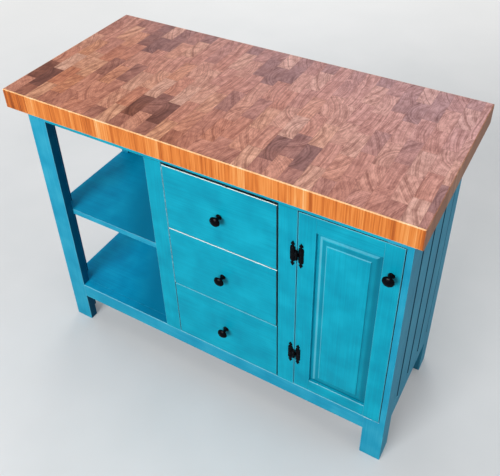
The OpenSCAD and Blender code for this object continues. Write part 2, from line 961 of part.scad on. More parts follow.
module door_stile_hinge() {
    color(paint)
        difference() {
            door_stile(x_leaf);
            stile_groove();
            hinge_places() leaf_screw_places() screw_hole();
        }
}

module door_stile_knob() {
    color(paint)
        difference() {
            door_stile(x_panel_open + panel_open_w);
            stile_groove();
            translate([x_knob, y_front, z_knob]) bolt_hole(door_t);
        }
}

// A rail between the stiles, with a tongue on each end for their groove
module door_rail(z, h) {
    difference() {
        block([x_panel_open, y_front, z],
              [x_panel_open + panel_open_w, y_front + door_t, z + h]);
        door_frame_groove();
    }
    for (x = [x_panel_open - door_groove + door_play, x_panel_open + panel_open_w - e])
        difference() {
            block([x, y_groove + door_play, z],
                  [x + door_groove - door_play + e, y_groove + door_groove_t - door_play,
                   z + h]);
            block([x - e, y_groove - e, z_panel_open - door_groove],
                  [x + door_groove + e, y_groove + door_groove_t + e,
                   z_panel_open + panel_open_h + door_groove]);
        }
}

module door_rail_top() {
    color(paint) door_rail(z_panel_open + panel_open_h, door_rail_top_h);
}

module door_rail_bottom() {
    color(paint) door_rail(z_leaf, door_rail_bottom_h);
}

// Section of the raised panel, across a width: a tongue at each edge, the moulded
// border that rises from it, and the flat field
module raised_section(w) {
    edge = door_groove - panel_room;
    back = y_groove + door_groove_t - door_play;
    tongue_face = y_groove + door_play;
    rise = tongue_face - y_front - panel_set_back;
    left = concat([[-edge, back], [-edge, tongue_face]],
                  [for (b = panel_border)
                      [panel_border_w * b.x, tongue_face - rise * b.y]]);
    polygon(concat(left, [for (p = reversed(left)) [w - p.x, p.y]]));
}

module door_panel() {
    edge = door_groove - panel_room;
    color(paint)
        intersection() {
            translate([x_panel_open, 0, z_panel_open - edge])
                linear_extrude(panel_open_h + 2 * edge) raised_section(panel_open_w);
            translate([x_panel_open - edge, 0, z_panel_open]) rotate([0, 90, 0])
                mirror([1, 0, 0])
                    linear_extrude(panel_open_w + 2 * edge) raised_section(panel_open_h);
        }
}

// ------------------------------------------------------- knobs and catch

// Hole through the wood for a knob's bolt, with a recess for its head at the
// back; +Y runs through the wood
module bolt_hole(t) {
    translate([0, -e, 0]) rotate([-90, 0, 0]) {
        cylinder(r = knob_bolt_d / 2 + bolt_play, h = t + 2 * e);
        translate([0, 0, t - bolt_sink + e])
            cylinder(r = bolt_head_d / 2 + 2 * bolt_play, h = bolt_sink + e);
    }
}

// A turned knob with its bolt, on wood of thickness t; -Y points into the room
module knob(t) {
    r = knob_d / 2;
    foot = knob_foot_d / 2;
    neck = knob_neck_d / 2;
    rim = knob_h - knob_dome_h;
    head = t - bolt_sink;
    bolt = [[0, -head - bolt_head_h], [bolt_head_d / 2, -head - bolt_head_h],
            [bolt_head_d / 2, -head], [knob_bolt_d / 2, -head], [knob_bolt_d / 2, 0]];
    base = concat([[foot, 0]],
                  [for (a = [0 : 15 : 90])
                      [foot - (foot - neck) * sin(a),
                       knob_foot_edge + knob_foot_rise * (1 - cos(a))]]);
    flare = [for (a = [0 : 15 : 90])
                [neck + (r - knob_rim - neck) * (1 - cos(a)),
                 rim - knob_rim - knob_flare * (1 - sin(a))]];
    dome = [for (a = [0 : 10 : 90]) [r * cos(a), rim + knob_dome_h * sin(a)]];
    rotate([90, 0, 0]) rotate_extrude() polygon(concat(bolt, base, flare, dome));
}

module door_knob() {
    color(iron) translate([x_knob, y_front, z_knob]) knob(door_t);
}

// The catch's case hangs behind the top rail, and its magnet reaches forward
// below the rail to the strike on the door's back
module door_catch() {
    y_magnet = y_strike + strike_t + catch_gap;
    half = catch_w / 2;
    color(iron) {
        block([x_catch - half, y_front_in, z_case],
              [x_catch + half, y_front_in + catch_d, z_case + catch_h]);
        block([x_catch - half + magnet_inset, y_magnet, z_case + magnet_lift],
              [x_catch + half - magnet_inset, y_front_in + e, z_case + magnet_lift + magnet_h]);
    }
}

module catch_strike() {
    half = catch_w / 2 - magnet_inset - strike_inset;
    z = z_case + magnet_lift;
    color(steel)
        block([x_catch - half, y_strike, z + strike_inset],
              [x_catch + half, y_strike + strike_t, z + magnet_h - strike_inset]);
}

// ---------------------------------------------------------------- drawers

// Dovetails along a drawer's corner: each flares from its root at Y = 0, half a
// pitch wide, to its end at Y = length. Play grows them all round.
module dovetails(length, thickness, play = 0) {
    pitch = side_h / tails;
    root = pitch / 4 + play;
    for (i = [0 : tails - 1])
        translate([-play, 0, pitch * (i + 0.5)]) rotate([90, 0, 90])
            linear_extrude(thickness + 2 * play)
                polygon([[-play - e, -root], [length + play, -root - tail_flare],
                         [length + play, root + tail_flare], [-play - e, root]]);
}

// Both ends of one side: tails that point forward into the front and back
// through the drawer's back; X = 0 is the side's outer face
module side_tails(play = 0) {
    mirror([0, 1, 0]) dovetails(tail_l_front, side_t, play);
    translate([0, side_l - side_t, 0]) dovetails(side_t, side_t, play);
}

// One side: +X points into the drawer
module drawer_side() {
    difference() {
        union() {
            block([0, 0, 0], [side_t, side_l - side_t, side_h]);
            side_tails();
        }
        runner_channel();
        bottom_channel(side_t - bottom_groove, side_t + e);
    }
}

// The groove that slides on the runner, stopped short of the front
module runner_channel() {
    block([-e, runner_stop, runner_lift - runner_play],
          [runner_groove, side_l + e, runner_lift + runner_h + runner_play]);
}

// The groove for the drawer's bottom runs out through the tails at both ends
module bottom_channel(x0, x1) {
    block([x0, -front_t, bottom_lift - bottom_play],
          [x1, side_l + e, bottom_lift + bottom_t + bottom_play]);
}

// Both sides' places, the right one mirrored
module side_places(i) {
    translate([x_box, y_box, side_z(i)]) children();
    translate([x_box + box_w, y_box, side_z(i)]) mirror([1, 0, 0]) children();
}

module drawer_sides(i) {
    color(bare_wood) side_places(i) drawer_side();
}

module drawer_front(i) {
    color(paint)
        difference() {
            translate([x_front, y_front, drawer_z(i)]) cube([front_w, front_t, front_h]);
            side_places(i) side_tails(tail_play);
            block([x_box + side_t - bottom_groove, y_box - bottom_groove,
                   side_z(i) + bottom_lift - bottom_play],
                  [x_box + box_w - side_t + bottom_groove, y_box + e,
                   side_z(i) + bottom_lift + bottom_t + bottom_play]);
            translate([x_drawer_mid, y_front, drawer_z(i) + front_h / 2])
                bolt_hole(front_t);
        }
}

// The back stands on the bottom, which runs out under it, and the back's ends
// show between the sides' tails
module drawer_back(i) {
    z = side_z(i);
    color(bare_wood)
        difference() {
            block([x_box, y_box + side_l - side_t, z + bottom_lift + bottom_t + bottom_play],
                  [x_box + box_w, y_box + side_l, z + side_h]);
            side_places(i) side_tails(tail_play);
            side_places(i) runner_channel();
        }
}

module drawer_bottom(i) {
    inset = side_t - bottom_groove + bottom_play;
    color(bare_wood)
        block([x_box + inset, y_box - bottom_groove + bottom_play, side_z(i) + bottom_lift],
              [x_box + box_w - inset, y_box + side_l,
               side_z(i) + bottom_lift + bottom_t]);
}

module drawer_knob(i) {
    color(iron)
        translate([x_drawer_mid, y_front, drawer_z(i) + front_h / 2]) knob(front_t);
}

// A hardwood runner on each divider, for the drawer's grooves
module runners(i) {
    z = side_z(i) + runner_lift;
    color(bare_wood)
        for (x = [x_drawers, x_stile_door - runner_w])
            translate([x, y_runner, z]) cube([runner_w, runner_l, runner_h]);
}

module runners_top() { runners(0); }
module runners_middle() { runners(1); }
module runners_bottom() { runners(2); }
module drawer_top_front() { drawer_front(0); }
module drawer_top_sides() { drawer_sides(0); }
module drawer_top_back() { drawer_back(0); }
module drawer_top_bottom() { drawer_bottom(0); }
module drawer_top_knob() { drawer_knob(0); }
module drawer_middle_front() { drawer_front(1); }
module drawer_middle_sides() { drawer_sides(1); }
module drawer_middle_back() { drawer_back(1); }
module drawer_middle_bottom() { drawer_bottom(1); }
module drawer_middle_knob() { drawer_knob(1); }
module drawer_bottom_front() { drawer_front(2); }
module drawer_bottom_sides() { drawer_sides(2); }
module drawer_bottom_back() { drawer_back(2); }
module drawer_bottom_bottom() { drawer_bottom(2); }
module drawer_bottom_knob() { drawer_knob(2); }

// ------------------------------------------------------------ the drawing

worktop();
leg_front_left();
leg_front_right();
leg_back_left();
leg_back_right();
rail_front_top();
rail_front_bottom();
rail_back_top();
rail_back_bottom();
rail_left_top();
rail_left_middle();
rail_left_bottom();
rail_right_top();
rail_right_bottom();
stile_bay();
stile_door();
stile_back();
side_boards();
back_boards();
divider_left();
divider_right();
floor_panel();
bay_shelf();
cupboard_shelf();
shelf_pins();
top_buttons();
top_button_screws();
runners_top();
runners_middle();
runners_bottom();
door_catch();
hinge_leaves_frame();
hinge_pins();
hinge_screws_frame();
door_stile_hinge();
door_stile_knob();
door_rail_top();
door_rail_bottom();
door_panel();
door_knob();
hinge_leaves_door();
hinge_screws_door();
catch_strike();
drawer_top_front();
drawer_top_sides();
drawer_top_back();
drawer_top_bottom();
drawer_top_knob();
drawer_middle_front();
drawer_middle_sides();
drawer_middle_back();
drawer_middle_bottom();
drawer_middle_knob();
drawer_bottom_front();
drawer_bottom_sides();
drawer_bottom_back();
drawer_bottom_bottom();
drawer_bottom_knob();
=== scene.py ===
import math
import random

import bmesh
import bpy
from mathutils import Matrix, Vector


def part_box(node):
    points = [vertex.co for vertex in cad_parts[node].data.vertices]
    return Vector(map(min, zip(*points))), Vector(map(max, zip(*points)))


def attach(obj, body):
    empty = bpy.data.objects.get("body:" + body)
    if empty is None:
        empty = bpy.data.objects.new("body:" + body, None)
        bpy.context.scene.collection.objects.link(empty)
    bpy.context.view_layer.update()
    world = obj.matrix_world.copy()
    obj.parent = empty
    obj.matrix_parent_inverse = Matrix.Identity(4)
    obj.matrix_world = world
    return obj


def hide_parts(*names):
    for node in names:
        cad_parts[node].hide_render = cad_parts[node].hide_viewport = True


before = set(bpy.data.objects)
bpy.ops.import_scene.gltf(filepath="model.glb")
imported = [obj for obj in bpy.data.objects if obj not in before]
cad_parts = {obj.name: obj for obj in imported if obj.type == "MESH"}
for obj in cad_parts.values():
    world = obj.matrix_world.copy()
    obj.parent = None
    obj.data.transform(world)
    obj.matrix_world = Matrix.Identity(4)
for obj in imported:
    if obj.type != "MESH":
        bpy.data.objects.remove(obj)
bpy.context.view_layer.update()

MM = 0.001
FRAME_T = 27 * MM  # thickness of the face frame's and legs' stock
DOOR_GAP = 2 * MM  # gap round the door
TENON = 15 * MM  # length of the stub tenons, hidden in their mortises
EASED = 1.0 * MM  # how far a painted board's arrises are rounded
HANDLED = 1.1 * MM  # and those of the legs and of the drawers
BROAD = 1.6 * MM  # and those that the hand rubs most
SECOND = 1  # material index of a piece's second paint

# Compass letters for the six sides of a board: front, back, left, right, up, down
SIDES = {
    "F": Vector((0, -1, 0)),
    "B": Vector((0, 1, 0)),
    "L": Vector((-1, 0, 0)),
    "R": Vector((1, 0, 0)),
    "U": Vector((0, 0, 1)),
    "D": Vector((0, 0, -1)),
}


# ------------------------------------------------------------ materials

OILED_IOR = 1.47  # index of refraction of oil or thin varnish on wood
# Colours as hex, dark to pale: of a coat of paint or sawn wood, and as stops of a
# ramp for the worktop's blocks and for the stripes on its edges and arrises
PAINT = ("#0295B2", "#04A2BE", "#0EB0CB")
# a bluer copy of the teal, as painted shade on the shelves and dividers
PAINT_BLUE_SHADE = ("#008DBB", "#009CC9", "#0CAAD4")
# a dark teal, as painted shade on the legs' inner faces in the open bay
PAINT_INNER_SHADE = ("#005274", "#005D81", "#026A8C")
# the side paint is the teal made darker and greyer: painted shade for the right-hand
# side
PAINT_SIDE_IN_SHADE = ("#3693B6", "#42A0C2", "#53AECC")
PAINT_LEG = ("#1694B8", "#219FC2", "#36ADCC")
# near-black teal, as painted shade on edges that show in gaps
GAP_SHADE = ("#061A22", "#0A2630", "#10323E")
BIRCH = ("#B98D5B", "#D3AC7C", "#E4C79D")
BEECH = ("#A9744A", "#C7935F", "#D8AC7C")
BLOCK_TONES = [(0.06, "#7A493F"), (0.2, "#915D4E"), (0.34, "#C98973")]
BLOCK_TONES += [(0.5, "#E19B80"), (0.64, "#EAAA8B"), (0.78, "#EFB698")]
BLOCK_TONES += [(0.95, "#F3C3AA")]
STRIPES = [(0.08, "#7C3D1A"), (0.26, "#BA5F24"), (0.42, "#D97A33")]
STRIPES += [(0.56, "#E88C42"), (0.72, "#F0A35C"), (0.92, "#F8D09C")]
# darker, greyer stripes as painted shade on the worktop's right-hand edge
SHADED_STRIPES = [(0.08, "#85563F"), (0.3, "#A06D52"), (0.5, "#B27D64")]
SHADED_STRIPES += [(0.7, "#C08E72"), (0.92, "#D0AA8C")]
# pale stripes as a painted highlight on the worktop's rounded arrises
ARRIS_HIGHLIGHT_STRIPES = [(0.1, "#E2A066"), (0.5, "#FAC48C"), (0.9, "#FFE6C2")]


def linear(code):
    """An sRGB hex colour as the linear colour that Blender's sockets take."""
    parts = [int(code[i : i + 2], 16) / 255 for i in (1, 3, 5)]
    return tuple(
        p / 12.92 if p <= 0.04045 else ((p + 0.055) / 1.055) ** 2.4 for p in parts
    ) + (1.0,)


def add(tree, kind, sockets=None, **settings):
    """Adds a node. sockets gives each input a value, or another node's output
    to link."""
    made = tree.nodes.new("ShaderNode" + kind)
    for key, value in settings.items():
        setattr(made, key, value)
    for key, value in (sockets or {}).items():
        if isinstance(value, bpy.types.NodeSocket):
            tree.links.new(value, made.inputs[key])
        else:
            made.inputs[key].default_value = value
    return made


def ramp(tree, factor, stops):
    """A colour ramp through (place, hex) stops."""
    made = add(tree, "ValToRGB", {"Fac": factor})
    band = made.color_ramp
    while len(band.elements) < len(stops):
        band.elements.new(0.5)
    for element, (place, code) in zip(band.elements, stops):
        element.position = place
        element.color = linear(code)
    return made.outputs["Color"]


def blank(name):
    """A new material: its tree, its shader, and where a point is on the object."""
    made = bpy.data.materials.new(name)
    made.use_nodes = True
    tree = made.node_tree
    place = add(tree, "TexCoord").outputs["Object"]
    return made, tree, tree.nodes["Principled BSDF"], place


def drawn_out(tree, place, scale, detail):
    """Noise with a scale per axis, long and thin like bristle marks or fibres."""
    drawn = add(tree, "Mapping", {"Vector": place, "Scale": scale}).outputs[0]
    noise = add(tree, "TexNoise", {"Vector": drawn, "Scale": 1.0, "Detail": detail})
    return noise.outputs["Fac"]


def finish_surface(tree, shader, colour, sheen, height, depth):
    """Links a material's colour, roughness and relief. sheen gives the noise that the
    roughness follows, and its values where the noise is low and where it is high.
    depth is the relief's, in metres."""
    noise, smooth, rough = sheen
    spread = {"From Min": 0.3, "From Max": 0.7, "To Min": smooth, "To Max": rough}
    roughness = add(tree, "MapRange", {"Value": noise, **spread})
    relief = add(tree, "Bump", {"Height": height, "Distance": depth, "Strength": 0.6})
    tree.links.new(colour, shader.inputs["Base Color"])
    tree.links.new(roughness.outputs[0], shader.inputs["Roughness"])
    tree.links.new(relief.outputs["Normal"], shader.inputs["Normal"])


def brushed_paint(name, deep, mid, pale, grain, joints=None, shade_gradient=None):
    """Chalk paint brushed by hand over pine, and rubbed through at the arrises.
    grain is the axis along which the board runs and the brush went. joints gives
    the axis across a row of V-jointed boards, the first joint's place on it, the
    boards' width and the dark colour of painted shade that lies in the joints and a
    little beyond. The last argument gives two places and the deeper colour of painted
    shade that the coat takes from the first to the second."""
    made, tree, shader, place = blank(name)
    # brush strokes 4 mm wide and 160 mm long; real bristle lines are nearer 1 mm,
    # and are drawn coarser so that they show
    across, along = 1 / (4 * MM), 1 / (160 * MM)
    scale = [along if axis == grain else across for axis in "xyz"]
    strokes = drawn_out(tree, place, scale, 3.0)
    # clouds where the coat was laid on thick or thin, 70 mm across
    clouds = add(
        tree, "TexNoise", {"Vector": place, "Scale": 1 / (70 * MM), "Detail": 2.0}
    ).outputs["Fac"]
    coat = add(tree, "Mix", {"Factor": 0.36, 2: clouds, 3: strokes}).outputs[0]
    colour = ramp(tree, coat, [(0.33, deep), (0.5, mid), (0.67, pale)])
    wear_and_highlight, painted_shade = (
        add(tree, "Attribute", attribute_name=layer).outputs["Fac"]
        for layer in ("wear_and_highlight", "painted_shade")
    )
    # what lies over the coat, from the lowest up: how much of it, and its colour
    layers = []
    # painted shade: the coat deepens from one place to the other
    if shade_gradient:
        bright, shaded, deeper = shade_gradient
        inwards = add(
            tree, "VectorMath", {0: place, 1: (1.0, 0.5, 0.0)}, operation="DOT_PRODUCT"
        ).outputs["Value"]
        shade_share = add(
            tree,
            "MapRange",
            {"Value": inwards, "From Min": bright, "From Max": shaded},
            interpolation_type="SMOOTHSTEP",
        ).outputs[0]
        layers.append((shade_share, linear(deeper)))
    # an arris that was only wiped keeps a thin pale coat, which also serves as painted
    # highlight
    thin = add(
        tree,
        "MapRange",
        {"Value": wear_and_highlight, "From Min": 0.22, "From Max": 0.74, "To Max": 0.74},
    ).outputs[0]
    layers.append((thin, linear("#9ADCE8")))
    # painted shade: the coat darkens on the sides of a moulding turned from the light
    layers.append((painted_shade, linear("#026C84")))
    # painted shade: the joints' dark colour darkens the V-grooves and a few millimetres
    # beside them
    if joints:
        axis, first, board, shade = joints
        row = add(tree, "SeparateXYZ", {0: place}).outputs[axis]
        count = add(
            tree,
            "Math",
            {0: row, 1: 1 / board, 2: -first / board},
            operation="MULTIPLY_ADD",
        ).outputs[0]
        off = add(tree, "Math", {0: count, 1: 0.5}, operation="PINGPONG").outputs[0]
        groove_shade = add(
            tree,
            "MapRange",
            {
                "Value": off,
                "From Min": 5.5 * MM / board,
                "From Max": 10 * MM / board,
                "To Min": 1.0,
                "To Max": 0.0,
            },
            interpolation_type="SMOOTHSTEP",
        ).outputs[0]
        layers.append((groove_shade, linear(shade)))
    # and one that was rubbed shows the white primer, here and there the pine
    chips = add(
        tree, "TexNoise", {"Vector": place, "Scale": 1 / (9 * MM), "Detail": 4.0}
    ).outputs["Fac"]
    reach = add(
        tree, "Math", {0: wear_and_highlight, 1: 4.0, 2: -3.1}, operation="MULTIPLY_ADD"
    ).outputs[0]
    worn = add(tree, "Math", {0: reach, 1: chips}, operation="ADD").outputs[0]
    bare = add(
        tree,
        "MapRange",
        {"Value": worn, "From Min": 0.0, "From Max": 0.16},
        interpolation_type="SMOOTHSTEP",
    ).outputs[0]
    primer = ramp(tree, chips, [(0.28, "#C2AC8C"), (0.38, "#E8F8F5")])
    layers.append((bare, primer))
    for share, over in layers:
        colour = add(
            tree, "Mix", {"Factor": share, 6: colour, 7: over}, data_type="RGBA"
        ).outputs[2]
    shader.inputs["Specular IOR Level"].default_value = 0.16
    finish_surface(tree, shader, colour, (coat, 0.38, 0.52), strokes, 0.35 * MM)
    return made


def sawn_wood(name, dark, mid, pale, grain, ring):
    """Sawn wood with its growth rings, ring apart: bands along the faces and arcs on
    the ends."""
    made, tree, shader, place = blank(name)
    # the log's axis lies along the grain, 60 mm off the board, so that the rings
    # cut its faces as long flames
    turn = {"x": (0, math.pi / 2, 0), "y": (math.pi / 2, 0, 0), "z": (0, 0, 0)}[grain]
    stretch = [0.06 if axis == grain else 1 for axis in "xyz"]
    squeezed = add(tree, "Mapping", {"Vector": place, "Scale": stretch}).outputs[0]
    sway = add(
        tree, "TexNoise", {"Vector": squeezed, "Scale": 1 / (60 * MM), "Detail": 2.0}
    ).outputs["Color"]
    swayed = add(
        tree,
        "VectorMath",
        {0: sway, 1: (0.03, 0.03, 0.03), 2: squeezed},
        operation="MULTIPLY_ADD",
    ).outputs[0]
    log = add(
        tree,
        "Mapping",
        {"Vector": swayed, "Rotation": turn, "Location": (0.06, 0.045, 0)},
    ).outputs[0]
    rings = add(
        tree,
        "TexWave",
        {
            "Vector": log,
            "Scale": 1 / (ring * 3.2),
            "Distortion": 1.4,
            "Detail": 2.0,
            "Detail Scale": 1.5,
        },
        wave_type="RINGS",
        rings_direction="Z",
        wave_profile="SAW",
    ).outputs["Fac"]
    # fibres 1.5 mm wide and 60 mm long
    across, along = 1 / (1.5 * MM), 1 / (60 * MM)
    scale = [along if axis == grain else across for axis in "xyz"]
    fibres = drawn_out(tree, place, scale, 2.0)
    figure = add(tree, "Mix", {"Factor": 0.45, 2: rings, 3: fibres}).outputs[0]
    colour = ramp(tree, figure, [(0.12, pale), (0.45, mid), (0.85, dark)])
    shader.inputs["IOR"].default_value = OILED_IOR
    finish_surface(tree, shader, colour, (fibres, 0.46, 0.6), fibres, 0.15 * MM)
    return made


def oiled_end_grain(name):
    """End grain of acacia blocks, sanded and oiled: each block has a tone of its own,
    arcs of its growth rings, and a thin dark line of glue round it."""
    made, tree, shader, place = blank(name)
    tone, glue = (
        add(tree, "Attribute", attribute_name=layer).outputs["Fac"]
        for layer in ("tone", "glue")
    )
    pith = add(tree, "Attribute", attribute_name="pith").outputs["Vector"]
    # the rings waver by a few millimetres
    sway = add(
        tree, "TexNoise", {"Vector": place, "Scale": 1 / (70 * MM), "Detail": 3.0}
    ).outputs["Color"]
    swayed = add(
        tree,
        "VectorMath",
        {0: sway, 1: (0.014, 0.014, 0.0), 2: place},
        operation="MULTIPLY_ADD",
    ).outputs[0]
    flat = add(
        tree, "VectorMath", {0: swayed, 1: (1, 1, 0)}, operation="MULTIPLY"
    ).outputs[0]
    radius = add(
        tree, "VectorMath", {0: flat, 1: pith}, operation="DISTANCE"
    ).outputs["Value"]
    # growth rings 4 mm apart, gathered in bands of 12 mm; real rings are nearer
    # 2 mm, and are drawn coarser so that they show
    ringed = []
    for spacing, detail in ((4 * MM, 2.0), (12 * MM, 0.0)):
        count = add(
            tree, "Math", {0: radius, 1: 1 / spacing}, operation="MULTIPLY"
        ).outputs[0]
        ringed.append(
            add(
                tree,
                "TexNoise",
                {"W": count, "Scale": 1.0, "Detail": detail},
                noise_dimensions="1D",
            ).outputs["Fac"]
        )
    rings = add(tree, "Mix", {"Factor": 0.4, 2: ringed[0], 3: ringed[1]}).outputs[0]
    # streaks of 4 by 45 mm along the block, where sander and oil drew the fibres out
    moved = add(
        tree, "VectorMath", {0: pith, 1: (9, 9, 9), 2: place}, operation="MULTIPLY_ADD"
    ).outputs[0]
    streaks = drawn_out(tree, moved, (1 / (4 * MM), 1 / (45 * MM), 1), 3.0)
    rings = add(tree, "Mix", {"Factor": 0.42, 2: rings, 3: streaks}).outputs[0]
    # pores, 1.6 mm across: real ones are finer and wouldn't show
    pores = add(
        tree, "TexNoise", {"Vector": place, "Scale": 1 / (1.6 * MM), "Detail": 1.0}
    ).outputs["Fac"]
    # the block's tone drifts a little from one place to the next
    drift = add(
        tree, "TexNoise", {"Vector": place, "Scale": 1 / (55 * MM), "Detail": 3.0}
    ).outputs["Fac"]
    toned = add(tree, "Mix", {"Factor": 0.22, 2: tone, 3: drift}).outputs[0]
    colour = ramp(tree, toned, BLOCK_TONES)
    # about half of the blocks lean towards tan, each by an amount of its own
    chance = add(tree, "TexWhiteNoise", {"Vector": pith}).outputs["Value"]
    lean_tan = add(tree, "MapRange", {"Value": chance, "From Min": 0.45}).outputs[0]
    # painted reflection of the sky: the top pales to pink towards the back right
    along = add(
        tree, "VectorMath", {0: place, 1: (0.5, 1.0, 0.0)}, operation="DOT_PRODUCT"
    ).outputs["Value"]
    painted_sheen = add(
        tree,
        "MapRange",
        {"Value": along, "From Min": -0.3, "From Max": 0.42, "To Max": 0.56},
    ).outputs[0]
    shade = ramp(
        tree,
        rings,
        [(0.36, "#C0B2B0"), (0.48, "#E4DDDC"), (0.56, "#F6F2F2"), (0.65, "#FFFFFF")],
    )
    speck = ramp(tree, pores, [(0.30, "#C9C2BE"), (0.46, "#FFFFFF")])
    # soft bright and dull patches, 20 mm across, where the fibres lean to the light
    lean = add(
        tree,
        "TexNoise",
        {"Vector": moved, "Scale": 1 / (20 * MM), "Detail": 2.0, "Distortion": 0.8},
    ).outputs["Fac"]
    patches = ramp(tree, lean, [(0.34, "#DCD4D4"), (0.64, "#FFFFFF")])
    line = add(tree, "Math", {0: glue, 1: 0.3}, operation="MULTIPLY").outputs[0]
    for share, over, blend in (
        (lean_tan, linear("#FDF0DC"), "MULTIPLY"),
        (painted_sheen, linear("#F9D0D6"), "MIX"),
        (1.0, shade, "MULTIPLY"),
        (0.6, speck, "MULTIPLY"),
        (1.0, patches, "MULTIPLY"),
        (line, linear("#5B3A2E"), "MIX"),
    ):
        colour = add(
            tree,
            "Mix",
            {"Factor": share, 6: colour, 7: over},
            data_type="RGBA",
            blend_type=blend,
        ).outputs[2]
    shader.inputs["IOR"].default_value = OILED_IOR
    finish_surface(tree, shader, colour, (rings, 0.34, 0.46), pores, 0.12 * MM)
    return made


def oiled_long_grain(name, stops):
    """The worktop's edges, where the same blocks show the sides of their fibres as
    upright stripes: orange heartwood, cream sapwood and a few dark lines."""
    made, tree, shader, place = blank(name)
    tone = add(tree, "Attribute", attribute_name="tone").outputs["Fac"]
    # stripes of 14 mm within a block, and fibres of 2.2 mm; both run its height
    stripes, fibres = (
        drawn_out(tree, place, (1 / width, 1 / width, 1 / length), 2.0)
        for width, length in ((14 * MM, 400 * MM), (2.2 * MM, 90 * MM))
    )
    streaks = add(tree, "Mix", {"Factor": 0.42, 2: stripes, 3: fibres}).outputs[0]
    figure = add(
        tree, "MapRange", {"Value": streaks, "From Min": 0.33, "From Max": 0.67}
    ).outputs[0]
    mixed = add(tree, "Mix", {"Factor": 0.52, 2: tone, 3: figure}).outputs[0]
    colour = ramp(tree, mixed, stops)
    shader.inputs["IOR"].default_value = OILED_IOR
    shader.inputs["Specular IOR Level"].default_value = 0.3
    finish_surface(tree, shader, colour, (streaks, 0.34, 0.46), fibres, 0.12 * MM)
    return made


def gritty(name, low, high, metallic, rough, grit, depth, specular=0.5):
    """Iron under satin black paint, bright zinc or moulded plastic: the fine grit of
    casting, plating or the mould."""
    made, tree, shader, place = blank(name)
    grain = add(
        tree, "TexNoise", {"Vector": place, "Scale": 1 / grit, "Detail": 3.0}
    ).outputs["Fac"]
    broad = add(
        tree, "TexNoise", {"Vector": place, "Scale": 1 / (8 * MM), "Detail": 2.0}
    ).outputs["Fac"]
    both = add(tree, "Mix", {"Factor": 0.5, 2: grain, 3: broad}).outputs[0]
    colour = ramp(tree, both, [(0.35, low), (0.65, high)])
    shader.inputs["Metallic"].default_value = metallic
    shader.inputs["Specular IOR Level"].default_value = specular
    sheen = (both, rough - 0.06, rough + 0.08)
    finish_surface(tree, shader, colour, sheen, grain, depth)
    return made


teal_across = brushed_paint("Teal_chalk_paint_brushed_across", *PAINT, "x")
teal_upright = brushed_paint("Teal_chalk_paint_brushed_upright", *PAINT, "z")
teal_leg = brushed_paint("Teal_chalk_paint_second_coat_upright", *PAINT_LEG, "z")
teal_rail = brushed_paint("Teal_chalk_paint_second_coat_across", *PAINT_LEG, "x")
teal_inwards = brushed_paint("Teal_chalk_paint_brushed_front_to_back", *PAINT, "y")
# painted shade: the shelves darken from their open end towards the drawers' wall
teal_shelf = brushed_paint(
    "Teal_chalk_paint_with_painted_shade_on_shelves",
    *PAINT_BLUE_SHADE,
    "x",
    shade_gradient=(-0.46, -0.32, "#007CA2"),
)
teal_divider = brushed_paint("Teal_chalk_paint_with_painted_shade_on_dividers", *PAINT_BLUE_SHADE, "z")
# painted shade: the right-hand boards and rails take the darker, greyer side paint
teal_side_in_shade = brushed_paint("Teal_chalk_paint_with_painted_shade_on_boards", *PAINT_SIDE_IN_SHADE, "z")
teal_grooved = brushed_paint(
    "Teal_chalk_paint_with_painted_shade_on_V_jointed_boards",
    *PAINT_SIDE_IN_SHADE,
    "z",
    joints=("Y", -137.5 * MM, 85 * MM, "#07536F"),
)
teal_back = brushed_paint(
    "Teal_chalk_paint_on_V_jointed_back_boards",
    *PAINT,
    "z",
    joints=("X", -103.4 * MM, 85.33 * MM, "#03748F"),
)
teal_side_rail = brushed_paint("Teal_chalk_paint_with_painted_shade_on_side_rails", *PAINT_SIDE_IN_SHADE, "y")
teal_inner_shade = brushed_paint("Teal_chalk_paint_with_painted_shade_inside_the_legs", *PAINT_INNER_SHADE, "z")
gap_shade_paint = brushed_paint("Dark_painted_shade_for_edges_in_gaps", *GAP_SHADE, "x")
end_grain = oiled_end_grain("Oiled_acacia_end_grain_blocks")
edge_grain = oiled_long_grain("Oiled_acacia_long_grain_stripes", STRIPES)
shaded_edge_grain = oiled_long_grain("Acacia_long_grain_stripes_with_painted_shade", SHADED_STRIPES)
arris_highlight_grain = oiled_long_grain("Acacia_arris_with_painted_highlight", ARRIS_HIGHLIGHT_STRIPES)
birch = sawn_wood("Clear_finished_birch_drawer_sides", *BIRCH, "y", 5 * MM)
birch_back = sawn_wood("Clear_finished_birch_drawer_backs", *BIRCH, "x", 5 * MM)
beech = sawn_wood("Waxed_beech_runners", *BEECH, "y", 4 * MM)
black_iron = gritty(
    "Cast_iron_under_satin_black_paint",
    "#020206",
    "#07070D",
    0.0,
    0.23,
    1.1 * MM,
    0.1 * MM,
    specular=0.1,
)
zinc = gritty(
    "Zinc_plated_steel", "#9EA2A6", "#C2C6CA", 1.0, 0.34, 1.6 * MM, 0.04 * MM
)
brown_plastic = gritty(
    "Moulded_brown_polystyrene", "#3A2217", "#4B2E20", 0.0, 0.42, 0.9 * MM, 0.05 * MM
)


# --------------------------------------------------------------- pieces


def sides_of(normal):
    """The letters of the sides that a face looks towards."""
    return {k for k, v in SIDES.items() if normal.dot(v) > 0.3}


def looks(face, side, reach=0.9):
    """Whether a face looks squarely towards a side, or less so with a lower reach."""
    return face.normal.dot(SIDES[side]) > reach


def rub_faces(bm, faces, rubbed):
    """Marks eased faces with how far their paint is rubbed through, from 0 to 1.
    rubbed maps pairs of side letters, such as FU for the front upper arris."""
    layer = bm.faces.layers.float["wear_and_highlight"]
    bm.normal_update()
    for face in faces:
        if face.is_valid:
            toward = sides_of(face.normal)
            found = [v for k, v in rubbed.items() if set(k) <= toward]
            face[layer] = max(found, default=rubbed.get("", 0.25))


